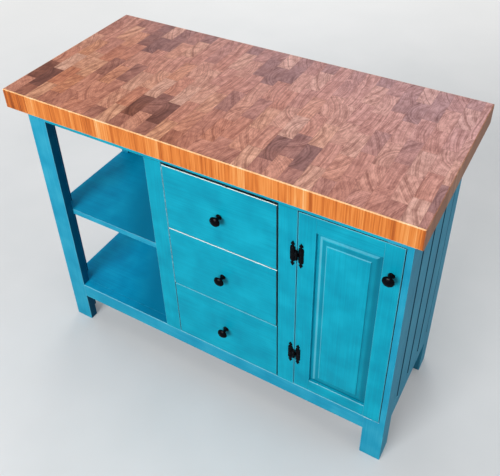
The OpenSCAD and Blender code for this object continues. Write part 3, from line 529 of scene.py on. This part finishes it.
def start():
    """A new mesh with the layer that tells the paint where it is rubbed and where it is
    pale as painted highlight.
    """
    bm = bmesh.new()
    bm.faces.layers.float.new("wear_and_highlight")
    return bm


def box_of(bm, low, high):
    """Adds a plain box between two corners."""
    low, high = Vector(low), Vector(high)
    made = bmesh.ops.create_cube(bm, size=1.0)["verts"]
    bmesh.ops.scale(bm, vec=high - low, verts=made)
    bmesh.ops.translate(bm, vec=(low + high) / 2, verts=made)


def score(bm, at, side, faces=None):
    """Cuts faces along a plane, so that the paint or the shape can change there."""
    if faces is None:
        cut = bm.verts[:] + bm.edges[:] + bm.faces[:]
    else:
        edges = list({e for f in faces for e in f.edges})
        cut = list({v for f in faces for v in f.verts}) + edges + faces
    bmesh.ops.bisect_plane(bm, geom=cut, plane_co=at, plane_no=SIDES[side])
    bm.normal_update()


def pull(bm, faces, by, keep=False):
    """Draws faces out of a solid along a vector, and gives what was drawn. keep
    leaves the faces where they were too, as the back of a plate."""
    drawn = bmesh.ops.extrude_face_region(bm, geom=faces)["geom"]
    if not keep:
        bmesh.ops.delete(bm, geom=faces, context="FACES")
    moved = [g for g in drawn if isinstance(g, bmesh.types.BMVert)]
    bmesh.ops.translate(bm, vec=by, verts=moved)
    return drawn


def bevel(bm, edges, offset, clamp=False):
    """Rounds edges with two facets, and gives the facets."""
    return bmesh.ops.bevel(
        bm,
        geom=edges,
        offset=offset,
        offset_type="OFFSET",
        segments=2,
        profile=0.5,
        affect="EDGES",
        material=-1,
        clamp_overlap=clamp,
    )["faces"]


def ease(bm, width, rubbed, joined="", broad=None):
    """Rounds a solid's square arrises. Those of joined sides, which meet another
    board, stay sharp; the broad pair's, such as FU, are rubbed rounder."""
    for wanted, offset in ((broad, BROAD), ("", width)):
        bm.normal_update()
        edges = [
            e
            for e in bm.edges
            if wanted is not None
            and e.is_convex
            and e.calc_face_angle(0) > math.radians(80)
            and not any(sides_of(f.normal) & set(joined) for f in e.link_faces)
            and set(wanted) <= set().union(*(sides_of(f.normal) for f in e.link_faces))
        ]
        if edges:
            rub_faces(bm, bevel(bm, edges, offset, clamp=True), rubbed)


def repaint(bm, letters, reach=0.99):
    """Gives the faces of some sides the second paint. It is mostly a near-black paint
    that stands as painted shade, a black line in a gap. A lower reach takes in the
    half of the arris that looks that way."""
    bm.normal_update()
    for face in bm.faces:
        if any(looks(face, k, reach) for k in letters):
            face.material_index = SECOND


def object_of(bm, name, coats):
    """Turns a mesh into an object of the scene, with its paints."""
    mesh = bpy.data.meshes.new(name)
    bm.to_mesh(mesh)
    bm.free()
    for coat in coats:
        mesh.materials.append(coat)
    made = bpy.data.objects.new(name, mesh)
    bpy.context.collection.objects.link(made)
    return made


def finish_piece(bm, name, coats, body, node, smooth=None):
    """Makes the object that replaces a node, with its paints, on its body. smooth
    is the angle in degrees up to which its facets are shaded as one round."""
    made = object_of(bm, name, coats)
    if smooth:
        mesh = made.data
        mesh.polygons.foreach_set("use_smooth", [True] * len(mesh.polygons))
        mesh.set_sharp_from_angle(angle=math.radians(smooth))
    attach(made, body)
    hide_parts(node)


def shoulders(node, axis):
    """A node's box, less the stub tenons at its two ends along an axis."""
    low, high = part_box(node)
    low[axis] += TENON
    high[axis] -= TENON
    return low, high


# Rails and stiles of the frame: the node, the axis of its tenons, its paint, and
# how its arrises are rubbed. The bottom rail's upper arris keeps a thin pale coat.
FRAME_BOARDS = [
    ("rail_front_top", 0, teal_across, {"FD": 0.3}),
    ("rail_front_bottom", 0, teal_rail, {"FU": 0.6, "FD": 0.35}),
    ("rail_back_top", 0, teal_across, {}),
    ("rail_back_bottom", 0, teal_across, {"BU": 0.5}),
    ("rail_left_top", 1, teal_inwards, {}),
    ("rail_left_middle", 1, teal_inwards, {"LU": 0.5}),
    ("rail_left_bottom", 1, teal_inwards, {"LU": 0.5}),
    ("rail_right_top", 1, teal_side_rail, {}),
    ("rail_right_bottom", 1, teal_side_rail, {"RU": 0.6}),
    ("stile_bay", 2, teal_upright, {"FL": 0.45, "FR": 0.5}),
    ("stile_door", 2, teal_upright, {"FL": 0.3, "FR": 0.45}),
    ("stile_back", 2, teal_upright, {"BL": 0.4}),
]

# The strips of painted shadow along the top rail's foot, over the drawers and over
# the door: the boards that they lie between, and their height
STRIPS = [
    ("stile_bay", "stile_door", 3.2 * MM),
    ("stile_door", "leg_front_right", 1.4 * MM),
]


def shade_over_openings(bm, foot):
    """Paints the strips of shadow on the top rail, whose foot is at that height."""
    for before, after, height in STRIPS:
        left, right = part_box(before)[1].x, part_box(after)[0].x
        head = foot + height
        score(bm, (0, 0, head), "U")
        score(bm, (left, 0, 0), "R")
        score(bm, (right, 0, 0), "R")
        for face in bm.faces:
            middle = face.calc_center_median()
            if looks(face, "F") and left < middle.x < right and middle.z < head:
                face.material_index = SECOND


def light_and_shade_beside_drawers(bm):
    """The bay stile's side in the drawers' gap: a pale rubbed coat as painted light
    beside the two upper drawers, and the dark paint as painted shade beside the bottom
    one."""
    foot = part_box("drawer_bottom_front")[1].z
    score(bm, (0, 0, foot), "U")
    side = [f for f in bm.faces if looks(f, "R")]
    beside_bottom = [f for f in side if f.calc_center_median().z < foot]
    rub_faces(bm, side, {"R": 0.66})
    rub_faces(bm, beside_bottom, {"R": 0.0})
    for face in beside_bottom:
        face.material_index = SECOND


def build_frame():
    for node, axis, paint, rubbed in FRAME_BOARDS:
        bm = start()
        box_of(bm, *shoulders(node, axis))
        broad = "FU" if node == "rail_front_bottom" else None
        ease(bm, EASED, rubbed, joined=("LR", "FB", "UD")[axis], broad=broad)
        second = gap_shade_paint
        if node == "rail_front_top":
            # painted shadow: the rail's foot and lower arris, and strips of its face
            # over the openings, take the dark paint
            repaint(bm, "D", 0.3)
            shade_over_openings(bm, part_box(node)[0].z)
        if node == "stile_bay":
            light_and_shade_beside_drawers(bm)
        # the bottom rail's top takes the shelves' paint and its painted shade
        if node == "rail_front_bottom":
            repaint(bm, "U")
            second = teal_shelf
        finish_piece(bm, node + "_board", [paint, second], "cabinet", node)


def build_corner_leg(node, front, outer):
    """A leg of two boards: a wide one seen from the front or back, and a narrow one
    that closes the corner behind its edge."""
    wide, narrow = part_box(node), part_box(node)
    if front:
        wide[1].y = narrow[0].y = wide[0].y + FRAME_T
    else:
        wide[0].y = narrow[1].y = wide[1].y - FRAME_T
    if outer == "L":
        narrow[1].x = narrow[0].x + FRAME_T
    else:
        narrow[0].x = narrow[1].x - FRAME_T
    rubbed = {"FL": 0.42, "FR": 0.42, "BL": 0.4, "BR": 0.4, "FD": 0.6, "LD": 0.6}
    bm = start()
    box_of(bm, *wide)
    ease(bm, HANDLED, rubbed)
    box_of(bm, *narrow)
    ease(bm, 0.7 * MM, {"": 0.1})
    # painted shade: a right-hand leg takes the darker, greyer side paint
    coats = [teal_side_in_shade]
    if outer == "L":
        # painted shade: the left legs' right-facing inner faces take the dark teal
        coats = [teal_leg, teal_inner_shade]
        repaint(bm, "R")
    finish_piece(bm, node + "_boards", coats, "cabinet", node)


def build_post():
    """The right front leg: a solid post with a deep rebate that the door shuts into."""
    low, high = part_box("leg_front_right")
    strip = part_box("door_stile_knob")[1].x + DOOR_GAP
    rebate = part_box("door_stile_knob")[1].y + DOOR_GAP
    foot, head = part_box("floor_panel")[1].z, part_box("rail_front_top")[0].z
    bm = start()
    box_of(bm, (low.x, rebate, low.z), high)
    score(bm, (0, 0, foot), "U")
    score(bm, (0, 0, head), "U")
    score(bm, (strip, 0, 0), "R")
    # all of the front but the rebate is drawn out to the post's own face
    proud = []
    for face in bm.faces:
        middle = face.calc_center_median()
        rebated = middle.x < strip and foot < middle.z < head
        if looks(face, "F") and not rebated:
            proud.append(face)
    pull(bm, proud, (0, low.y - rebate, 0))
    bmesh.ops.recalc_face_normals(bm, faces=bm.faces[:])
    flat = 0.01  # radians
    bmesh.ops.dissolve_limit(bm, angle_limit=flat, verts=bm.verts[:], edges=bm.edges[:])
    rubbed = {"FR": 0.3, "FL": 0.3, "FD": 0.5, "FU": 0.66, "": 0.2}
    ease(bm, EASED, rubbed, broad="FU")
    # painted shade: the post's right side takes the darker, greyer side paint
    repaint(bm, "R")
    coats = [teal_leg, teal_side_in_shade]
    finish_piece(bm, "front_right_post", coats, "cabinet", "leg_front_right")


def build_shelf(node, name, right_tab, rubbed):
    """A shelf let in between the legs: a slab with a tongue of itself reaching out
    between the two legs at the left end, and at the right end past the post. Its
    front edge has the face frame's paint."""
    low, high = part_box(node)
    leg_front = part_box("leg_front_left")[1].y
    leg_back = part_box("leg_back_left")[0].y
    body_left = low.x + FRAME_T
    body_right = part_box("leg_front_right")[0].x if right_tab else high.x
    bm = start()
    box_of(bm, (body_left, low.y, low.z), (body_right, high.y, high.z))
    score(bm, (0, leg_front, 0), "B")
    score(bm, (0, leg_back, 0), "B")
    tabs = [("L", low.x - body_left, leg_back)]
    if right_tab:
        tabs.append(("R", high.x - body_right, high.y))
    for side, reach, behind in tabs:
        ends = [
            f
            for f in bm.faces
            if looks(f, side) and leg_front < f.calc_center_median().y < behind
        ]
        pull(bm, ends, (reach, 0, 0))
        bm.normal_update()
    bmesh.ops.recalc_face_normals(bm, faces=bm.faces[:])
    ease(bm, 0.8 * MM, {"FU": rubbed, "BU": 0.3, "": 0.15})
    repaint(bm, "F")
    finish_piece(bm, name, [teal_shelf, teal_rail], "cabinet", node)


# The worktop's blocks, measured along the front and from the back edge. Boards
# glued side by side were crosscut into strips and turned over in pairs, so the
# columns repeat as mirror images about a line that recurs every ten columns.
COLUMN = 39.4 * MM
REPEAT = 10  # columns
MIRROR_X = 30 * MM
BLOCK = 98 * MM
FIRST_JOINT = (81.5 * MM, 52 * MM)  # in even and in odd columns
HEARTWOOD = {(0, 1), (1, 0), (1, 1), (3, 0), (4, 4), (5, 4)}
SAPWOOD = {(0, 0), (3, 1), (3, 5), (4, 3), (2, 3)}
CORNER_TONES = {0: 0.0, 1: 0.1, 2: 0.9}  # of the front edge's first three strips
SLIVER = 3 * MM  # what is left of a strip no wider than this counts to the next
MIDDLING = (0.22, 0.56)  # lowest tone of a common block, and the span above it
TOP, EDGE, ARRIS, SHADED_EDGE = range(4)  # the worktop's materials


def column_of(strip):
    """The column that a strip repeats, counted from the nearest mirror line."""
    return abs((strip + REPEAT // 2) % REPEAT - REPEAT // 2)


def place_in_pattern(x, from_back):
    """A point's column, the block in it, and its strip."""
    strip = round((x - MIRROR_X) / COLUMN)
    column = column_of(strip)
    first = FIRST_JOINT[column % 2]
    block = 0 if from_back < first else 1 + int((from_back - first) / BLOCK)
    return column, block, strip


def saw_blocks(bm, low, high, first_strip, last_strip):
    """Cuts the slab's faces into strips, and each strip into its blocks."""
    for strip in range(first_strip + 1, last_strip + 1):
        score(bm, (MIRROR_X + (strip - 0.5) * COLUMN, 0, 0), "R")
    for strip in range(first_strip, last_strip + 1):
        joint = FIRST_JOINT[column_of(strip) % 2]
        while joint < high.y - low.y - 5 * MM:
            faces = []
            for f in bm.faces:
                near = round((f.calc_center_median().x - MIRROR_X) / COLUMN)
                if max(near, first_strip) == strip:
                    faces.append(f)
            score(bm, (0, high.y - joint, 0), "B", faces)
            joint += BLOCK


def build_worktop():
    low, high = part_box("worktop")
    bm = bmesh.new()
    tone = bm.faces.layers.float.new("tone")
    glue = bm.faces.layers.float.new("glue")
    pith = bm.faces.layers.float_vector.new("pith")
    box_of(bm, low, high)
    # painted highlight: the rounded arrises take the pale stripes
    for face in bevel(bm, bm.edges[:], 2.2 * MM):
        face.material_index = ARRIS
    first_strip = math.ceil((low.x + SLIVER - MIRROR_X) / COLUMN - 0.5)
    last_strip = math.floor((high.x - SLIVER - MIRROR_X) / COLUMN + 0.5)
    saw_blocks(bm, low, high, first_strip, last_strip)
    tops = [f for f in bm.faces if looks(f, "U") or looks(f, "D")]
    lines = bmesh.ops.inset_individual(
        bm, faces=tops, thickness=0.35 * MM, use_even_offset=True
    )["faces"]
    for face in lines:
        face[glue] = 1.0
    bm.normal_update()
    for face in bm.faces:
        middle = face.calc_center_median()
        column, block, strip = place_in_pattern(
            min(max(middle.x, low.x + SLIVER), high.x - SLIVER),
            min(max(high.y - middle.y, 0), high.y - low.y - SLIVER),
        )
        dice = random.Random(column * 31 + block * 7 + 5)
        lowest, span = MIDDLING
        shade = lowest + span * dice.random()
        if (column, block) in HEARTWOOD:
            shade = 0.06 + 0.12 * dice.random()
        if (column, block) in SAPWOOD:
            shade = 0.8 + 0.16 * dice.random()
        shade += 0.08 * (random.Random(strip * 101 + block).random() - 0.5)
        face[tone] = min(max(shade, 0), 1)
        # most blocks were cut far from the pith, so their rings run nearly straight;
        # one in four shows tight arcs
        near = dice.random() < 0.25
        turn = (2.6 if near else 1.0) * (dice.random() - 0.5)
        reach = 0.05 + (0.05 if near else 0.4) * dice.random()
        mirrored = 1 if (strip + REPEAT // 2) % REPEAT >= REPEAT // 2 else -1
        centre = Vector((MIRROR_X + strip * COLUMN, high.y - block * BLOCK, 0))
        face[pith] = centre + Vector(
            (mirrored * reach * math.cos(turn), reach * math.sin(turn), 0)
        )
        if face.material_index == TOP and not (looks(face, "U") or looks(face, "D")):
            face.material_index = EDGE
        # painted shade: the right-hand edge and its arrises take darker, greyer stripes
        if face.normal.x > 0.3:
            face.material_index = SHADED_EDGE
        # along the edges the strips differ less, apart from the two of brown
        # heartwood at the front's left corner and the pale one beside them
        if face.material_index != TOP:
            face[tone] = lowest + span * face[tone]
        if looks(face, "F") and strip - first_strip in CORNER_TONES:
            face[tone] = CORNER_TONES[strip - first_strip]
    coats = [end_grain, edge_grain, arris_highlight_grain, shaded_edge_grain]
    finish_piece(bm, "worktop_blocks", coats, "cabinet", "worktop")


# ----------------------------------------------------------------- door

# The door's boards: the node, its paint, how its arrises are rubbed, which pair of
# sides has a broad one, and the sides that take the dark paint as painted shade
DOOR_BOARDS = [
    ("door_stile_hinge", teal_upright, {"FL": 0.5, "FU": 0.58, "FD": 0.4}, None, "U"),
    ("door_stile_knob", teal_upright, {"FR": 0.5, "FL": 0.34, "FU": 0.58}, None, "RU"),
    ("door_rail_top", teal_across, {"FU": 0.58, "FD": 0.3}, None, "U"),
    ("door_rail_bottom", teal_across, {"FD": 0.4, "FU": 0.62}, "FU", "D"),
]


def build_door():
    for node, paint, rubbed, broad, shaded_sides in DOOR_BOARDS:
        low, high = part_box(node)
        joined = ""
        if node.startswith("door_rail"):
            low.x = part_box("door_stile_hinge")[1].x
            high.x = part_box("door_stile_knob")[0].x
            joined = "LR"
        bm = start()
        box_of(bm, low, high)
        ease(bm, EASED, rubbed, joined=joined, broad=broad)
        repaint(bm, shaded_sides)
        finish_piece(bm, node + "_board", [paint, gap_shade_paint], "door", node)


# The raised panel's border, from the frame inwards: how far in, and how high above
# the tongue, in millimetres; then how much painted shade darkens the paint there on
# the sides turned from the light, the right and the foot, and on the other two. A
# swelling comes first, then a ledge, and then a round up to the field.
PANEL_BORDER = [(3, 0.1, 0.8, 0.3), (6, 0.8, 0.75, 0.3), (9, 2.0, 0.7, 0.2)]
PANEL_BORDER += [(12, 3.2, 0.65, 0), (15, 4.2, 0.6, 0), (17.5, 4.7, 0.5, 0.1)]
PANEL_BORDER += [(19, 4.7, 0.4, 0.4), (22, 4.4, 0.4, 0.4), (25, 4.4, 0.5, 0.4)]
PANEL_BORDER += [(26, 5.0, 0.7, 0), (27, 5.8, 0.6, 0), (28, 6.3, 0, 0)]
PANEL_BORDER += [(29, 6.5, 0, 0)]
LEDGE = 22  # the row where the ledge begins, which is 4 mm broader along the head


def build_raised_panel():
    low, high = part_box("door_panel")
    middle = (low + high) / 2
    lip = 8.5 * MM  # how far the panel reaches into the frame's groove
    tongue = low.y + PANEL_BORDER[-1][1] * MM
    bm = start()
    painted_shade = bm.faces.layers.float.new("painted_shade")
    wear_and_highlight = bm.faces.layers.float["wear_and_highlight"]
    box_of(bm, (low.x, tongue, low.z), high)
    bm.normal_update()
    field = [f for f in bm.faces if looks(f, "F")]
    bmesh.ops.inset_region(bm, faces=field, thickness=lip, use_even_offset=True)
    across, up = 0.0, 0.0
    for inwards, height, dark, light in PANEL_BORDER:
        ring = bmesh.ops.inset_region(
            bm, faces=field, thickness=(inwards - across) * MM, use_even_offset=True
        )["faces"]
        corners = list({v for f in field for v in f.verts})
        bmesh.ops.translate(bm, vec=(0, (up - height) * MM, 0), verts=corners)
        if inwards == LEDGE:
            head = max(v.co.z for v in corners)
            for v in corners:
                if v.co.z > head - MM:
                    v.co.z -= 4 * MM
        for face in ring:
            # which side of the border the face is on: the longer way off the middle
            off = face.calc_center_median() - middle
            level = abs(off.x) + (high.z - high.x + low.x - low.z) / 2 < abs(off.z)
            lit = off.z > 0 if level else off.x < 0
            face[painted_shade] = light if lit else dark
            # painted highlight: a pale rubbed coat on the lit sides of the two rounds,
            # most along the left side
            if lit and (9 < inwards < 16 or 26 < inwards < 29):
                face[wear_and_highlight] = 0.34 if level else 0.42
        across, up = inwards, height
    coats = [teal_upright]
    finish_piece(bm, "door_raised_panel", coats, "door", "door_panel", smooth=24)


# -------------------------------------------------------------- drawers

# How far each drawer front's arrises are rubbed, from the top drawer down
DRAWER_RUB = {
    "top": {"FU": 1.0, "FR": 0.3, "FL": 0.6, "FD": 0.3},
    "middle": {"FU": 1.0, "FR": 0.3, "FL": 0.5, "FD": 0.3},
    "bottom": {"FU": 0.52, "FR": 0.3, "FL": 0.5, "FD": 0.3},
}
SHADED_END = 2.4 * MM  # painted shadow at the right end of the upper drawers' faces


def build_drawer_fronts():
    for name, rubbed in DRAWER_RUB.items():
        node = f"drawer_{name}_front"
        bm = start()
        box_of(bm, *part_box(node))
        ease(bm, HANDLED, rubbed, broad="FU")
        # painted shade: the upper, lower and right sides take the dark paint that shows
        # in the gaps
        repaint(bm, "UD")
        repaint(bm, "R", 0.6)
        if name != "bottom":
            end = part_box(node)[1].x - SHADED_END
            score(bm, (end, 0, 0), "R")
            for f in bm.faces:
                if looks(f, "F") and f.calc_center_median().x > end:
                    f.material_index = SECOND
        coats = [teal_across, gap_shade_paint]
        finish_piece(bm, node + "_board", coats, f"drawer_{name}", node)


# ---------------------------------------------------- knobs and hinges


def quarter_turn(step):
    """The sine and cosine of every angle from 0 to 90 degrees, by a step."""
    turns = [math.radians(a) for a in range(0, 91, step)]
    return [(math.sin(a), math.cos(a)) for a in turns]


def build_knob(node, name, body):
    """A turned knob: a flared foot on the wood, a neck and a domed head."""
    low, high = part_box(node)
    wood = {"door": "door_stile_knob"}.get(body, body + "_front")
    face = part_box(wood)[0].y
    middle = Vector(((low.x + high.x) / 2, face, (low.z + high.z) / 2))
    r, out = (high.x - low.x) / 2, face - low.y
    foot, neck, bead, dome = 8.5 * MM, 4.5 * MM, 1.2 * MM, 8.2 * MM
    lip, rim = foot - 0.5 * MM, out - dome
    # the foot, sunk 0.4 mm into the wood, and its flare of 5 mm up to the neck
    profile = [(0.0, -0.4 * MM), (foot, -0.4 * MM), (foot, 0.9 * MM)]
    for s, c in quarter_turn(15):
        profile.append((lip - (lip - neck) * s, 1.5 * MM + 5 * MM * (1 - c)))
    # the head's hollow underside, 4 mm deep, up to the bead round its rim
    for s, c in quarter_turn(15):
        radius = neck + (r - bead - neck) * (1 - c)
        profile.append((radius, rim - bead - 4 * MM * (1 - s)))
    for s, c in quarter_turn(10):
        profile.append((r * c, rim + dome * s))
    bm = bmesh.new()
    line = [bm.verts.new((x, -y, 0)) for x, y in profile]
    for a, b in zip(line, line[1:]):
        bm.edges.new((a, b))
    bmesh.ops.spin(
        bm,
        geom=bm.verts[:] + bm.edges[:],
        cent=(0, 0, 0),
        axis=(0, 1, 0),
        angle=2 * math.pi,
        steps=56,
        use_merge=True,
    )
    bmesh.ops.remove_doubles(bm, verts=bm.verts[:], dist=0.01 * MM)
    bmesh.ops.recalc_face_normals(bm, faces=bm.faces[:])
    bmesh.ops.translate(bm, vec=middle, verts=bm.verts[:])
    finish_piece(bm, name, [black_iron], body, node, smooth=38)


KNUCKLE_R, KNUCKLE_L = 3.5 * MM, 30 * MM
PIN_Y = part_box("stile_door")[0].y - 3.8 * MM  # 0.3 mm more than the knuckles' radius
HALF_PIN = 16.6 * MM  # half the knuckles' length and a cap of 1.6 mm
pins_low, pins_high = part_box("hinge_pins")
HINGE_Z = (pins_high.z - HALF_PIN, pins_low.z + HALF_PIN)
LEAF_W, LEAF_H, SPEAR_L, LEAF_T = 14 * MM, 52 * MM, 15 * MM, 2 * MM
# One side of a leaf's spear tip, from the shoulder to the point, as shares of half
# the leaf's width and of the tip's length
SPEAR = [(1, -0.4), (0.86, -0.16), (0.6, -0.03), (0.31, 0.03), (0.29, 0.17)]
SPEAR += [(0.62, 0.21), (0.8, 0.3), (0.77, 0.4), (0.6, 0.53), (0.3, 0.78), (0, 1)]


def build_leaves(node, name, body, way):
    """Two spear-ended hinge leaves: pressed plates with a rounded edge, and their
    knuckles. way is 1 for the leaves to the right of the pins, -1 for the left."""
    low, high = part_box(node)
    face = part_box("stile_door")[0].y
    pin_x = low.x + KNUCKLE_R if way > 0 else high.x - KNUCKLE_R
    strap = sorted((pin_x, pin_x + way * KNUCKLE_R * 2))
    third, clear = KNUCKLE_L / 3, 0.4 * MM
    barrels = [(-0.5 * third, 0.5 * third)]
    if way < 0:
        barrels = [(-1.5 * third, -0.5 * third - clear)]
        barrels += [(0.5 * third + clear, 1.5 * third)]
    bm = bmesh.new()
    for z in HINGE_Z:
        centre = Vector((pin_x + way * (KNUCKLE_R + 0.7 * MM + LEAF_W / 2), face, z))
        side = [(x * LEAF_W / 2, LEAF_H / 2 + y * SPEAR_L) for x, y in SPEAR]
        upper = [(-x, y) for x, y in side] + [(x, y) for x, y in side[-2::-1]]
        outline = upper + [(x, -y) for x, y in reversed(upper)]
        verts = [bm.verts.new(centre + Vector((x, 0, y))) for x, y in outline]
        plate = bm.faces.new(verts)
        drawn = pull(bm, [plate], (0, -LEAF_T, 0), keep=True)
        top = [g for g in drawn if isinstance(g, bmesh.types.BMFace)]
        bevel(bm, [e for f in top for e in f.edges], 0.7 * MM)
        for foot, head in barrels:
            barrel = bmesh.ops.create_cone(
                bm,
                cap_ends=True,
                segments=28,
                radius1=KNUCKLE_R,
                radius2=KNUCKLE_R,
                depth=head - foot,
                matrix=Matrix.Translation((pin_x, PIN_Y, z + (foot + head) / 2)),
            )["verts"]
            rims = {
                e
                for v in barrel
                for e in v.link_edges
                if abs(e.verts[0].co.z - e.verts[1].co.z) < 1e-6
                and len(e.link_faces) == 2
            }
            bevel(bm, list(rims), 0.4 * MM)
            near, far = face - LEAF_T, face - 0.35 * MM
            box_of(bm, (strap[0], near, z + foot), (strap[1], far, z + head))
    bmesh.ops.recalc_face_normals(bm, faces=bm.faces[:])
    finish_piece(bm, name, [black_iron], body, node, smooth=35)


# ------------------------------------------- finishes of the CAD nodes

NODE_FINISH = {
    "side_boards": teal_grooved,
    "back_boards": teal_back,
    "divider_left": teal_divider,
    "divider_right": teal_divider,
    "cupboard_shelf": teal_shelf,
    "shelf_pins": zinc,
    "top_buttons": beech,
    "top_button_screws": zinc,
    "door_catch": brown_plastic,
    "catch_strike": zinc,
    "hinge_pins": black_iron,
    "hinge_screws_frame": black_iron,
    "hinge_screws_door": black_iron,
}


def finish_nodes():
    for name in ("top", "middle", "bottom"):
        NODE_FINISH[f"drawer_{name}_sides"] = birch
        NODE_FINISH[f"drawer_{name}_back"] = birch_back
        NODE_FINISH[f"drawer_{name}_bottom"] = birch_back
        NODE_FINISH[f"runners_{name}"] = beech
    for node, material in NODE_FINISH.items():
        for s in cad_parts[node].material_slots:
            s.material = material


# ------------------------------------------------- floor, light, camera

# The camera that sees what the photo shows: metres, degrees, millimetres
CAMERA_PLACE = (0.7828, -1.2701, 1.8110)
CAMERA_TURN = (53.525, 1.355, 30.134)
CAMERA_LENS = 48.401
CAMERA_SHIFT = (0.0058, -0.156)
BACKDROP = {"Color": linear("#F4F4F3"), "Strength": 0.95}


def lay_floor():
    """A floor that the camera sees pale, and that throws back only the little light
    that dark ground under the object would."""
    made, tree, shader, place = blank("Pale_plastered_studio_floor")
    # trowel marks 0.35 m wide
    trowel = add(
        tree, "TexNoise", {"Vector": place, "Scale": 1 / 0.35, "Detail": 3.0}
    ).outputs["Fac"]
    seen = add(tree, "LightPath").outputs["Is Camera Ray"]
    pale = ramp(tree, trowel, [(0.3, "#C6C8C9"), (0.7, "#CCCDCE")])
    dull = ramp(tree, trowel, [(0.3, "#8F9192"), (0.7, "#969899")])
    colour = add(
        tree, "Mix", {"Factor": seen, 6: dull, 7: pale}, data_type="RGBA"
    ).outputs[2]
    glow = add(tree, "Math", {0: seen, 1: 0.2}, operation="MULTIPLY").outputs[0]
    tree.links.new(colour, shader.inputs["Base Color"])
    tree.links.new(pale, shader.inputs["Emission Color"])
    tree.links.new(glow, shader.inputs["Emission Strength"])
    shader.inputs["Roughness"].default_value = 0.85
    # from 1.6 to 3.6 m out the floor fades into the backdrop, for the camera alone
    far = add(tree, "VectorMath", {0: place}, operation="LENGTH").outputs["Value"]
    fade = add(
        tree, "MapRange", {"Value": far, "From Min": 1.6, "From Max": 3.6}
    ).outputs[0]
    fade = add(tree, "Math", {0: fade, 1: seen}, operation="MULTIPLY").outputs[0]
    beyond = add(tree, "Emission", BACKDROP)
    mixed = add(
        tree, "MixShader", {0: fade, 1: shader.outputs[0], 2: beyond.outputs[0]}
    )
    out = tree.nodes["Material Output"]
    tree.links.new(mixed.outputs[0], out.inputs["Surface"])
    bm = bmesh.new()
    bmesh.ops.create_grid(bm, x_segments=8, y_segments=8, size=14)
    object_of(bm, "studio_floor", [made])


LAMPS_AIM = Vector((0, 0, 0.45))
# Soft lamps: name, place in metres, width, watts, and whether the oil mirrors it
LAMPS = [
    ("window_front_left", (-0.4, -4.0, 2.5), 2.2, 163, True),
    ("window_above", (0.2, 0.2, 4.2), 3.0, 34, True),
    ("window_left", (-3.6, 0.5, 1.6), 2.0, 22, False),
    ("window_back", (-1.5, 3.5, 1.8), 2.4, 60, False),
    ("window_right", (3.4, 0.2, 1.7), 2.2, 24, False),
]


def light_room():
    world = bpy.data.worlds.new("pale_studio")
    world.use_nodes = True
    bpy.context.scene.world = world
    tree = world.node_tree
    tree.nodes.clear()
    seen = add(tree, "LightPath").outputs["Is Camera Ray"]
    soft = add(tree, "Background", {"Color": linear("#F4F6F8"), "Strength": 0.3})
    pale = add(tree, "Background", BACKDROP)
    mixed = add(tree, "MixShader", {0: seen, 1: soft.outputs[0], 2: pale.outputs[0]})
    out = add(tree, "OutputWorld")
    tree.links.new(mixed.outputs[0], out.inputs["Surface"])
    for name, place, size, energy, mirrored in LAMPS:
        lamp = bpy.data.lights.new(name, "AREA")
        lamp.size = size
        lamp.energy = energy
        holder = bpy.data.objects.new(name, lamp)
        holder.location = place
        holder.visible_glossy = mirrored
        aim = LAMPS_AIM - holder.location
        holder.rotation_euler = aim.to_track_quat("-Z", "Y").to_euler()
        bpy.context.collection.objects.link(holder)


def set_camera():
    lens = bpy.data.cameras.new("photo_view")
    lens.sensor_width = 36
    lens.lens = CAMERA_LENS
    lens.shift_x, lens.shift_y = CAMERA_SHIFT
    holder = bpy.data.objects.new("photo_view", lens)
    holder.location = CAMERA_PLACE
    holder.rotation_euler = [math.radians(a) for a in CAMERA_TURN]
    bpy.context.collection.objects.link(holder)
    bpy.context.scene.camera = holder


build_frame()
build_corner_leg("leg_front_left", True, "L")
build_corner_leg("leg_back_left", False, "L")
build_corner_leg("leg_back_right", False, "R")
build_post()
build_shelf("bay_shelf", "bay_shelf_board", False, 0.55)
build_shelf("floor_panel", "floor_board", True, 0.1)
build_worktop()
build_door()
build_raised_panel()
build_drawer_fronts()
build_knob("door_knob", "door_turned_knob", "door")
for drawer in ("drawer_top", "drawer_middle", "drawer_bottom"):
    build_knob(drawer + "_knob", drawer + "_turned_knob", drawer)
build_leaves("hinge_leaves_frame", "frame_hinge_leaves", "cabinet", -1)
build_leaves("hinge_leaves_door", "door_hinge_leaves", "door", 1)
finish_nodes()
lay_floor()
light_room()
set_camera()
bpy.context.scene.view_settings.view_transform = "Standard"
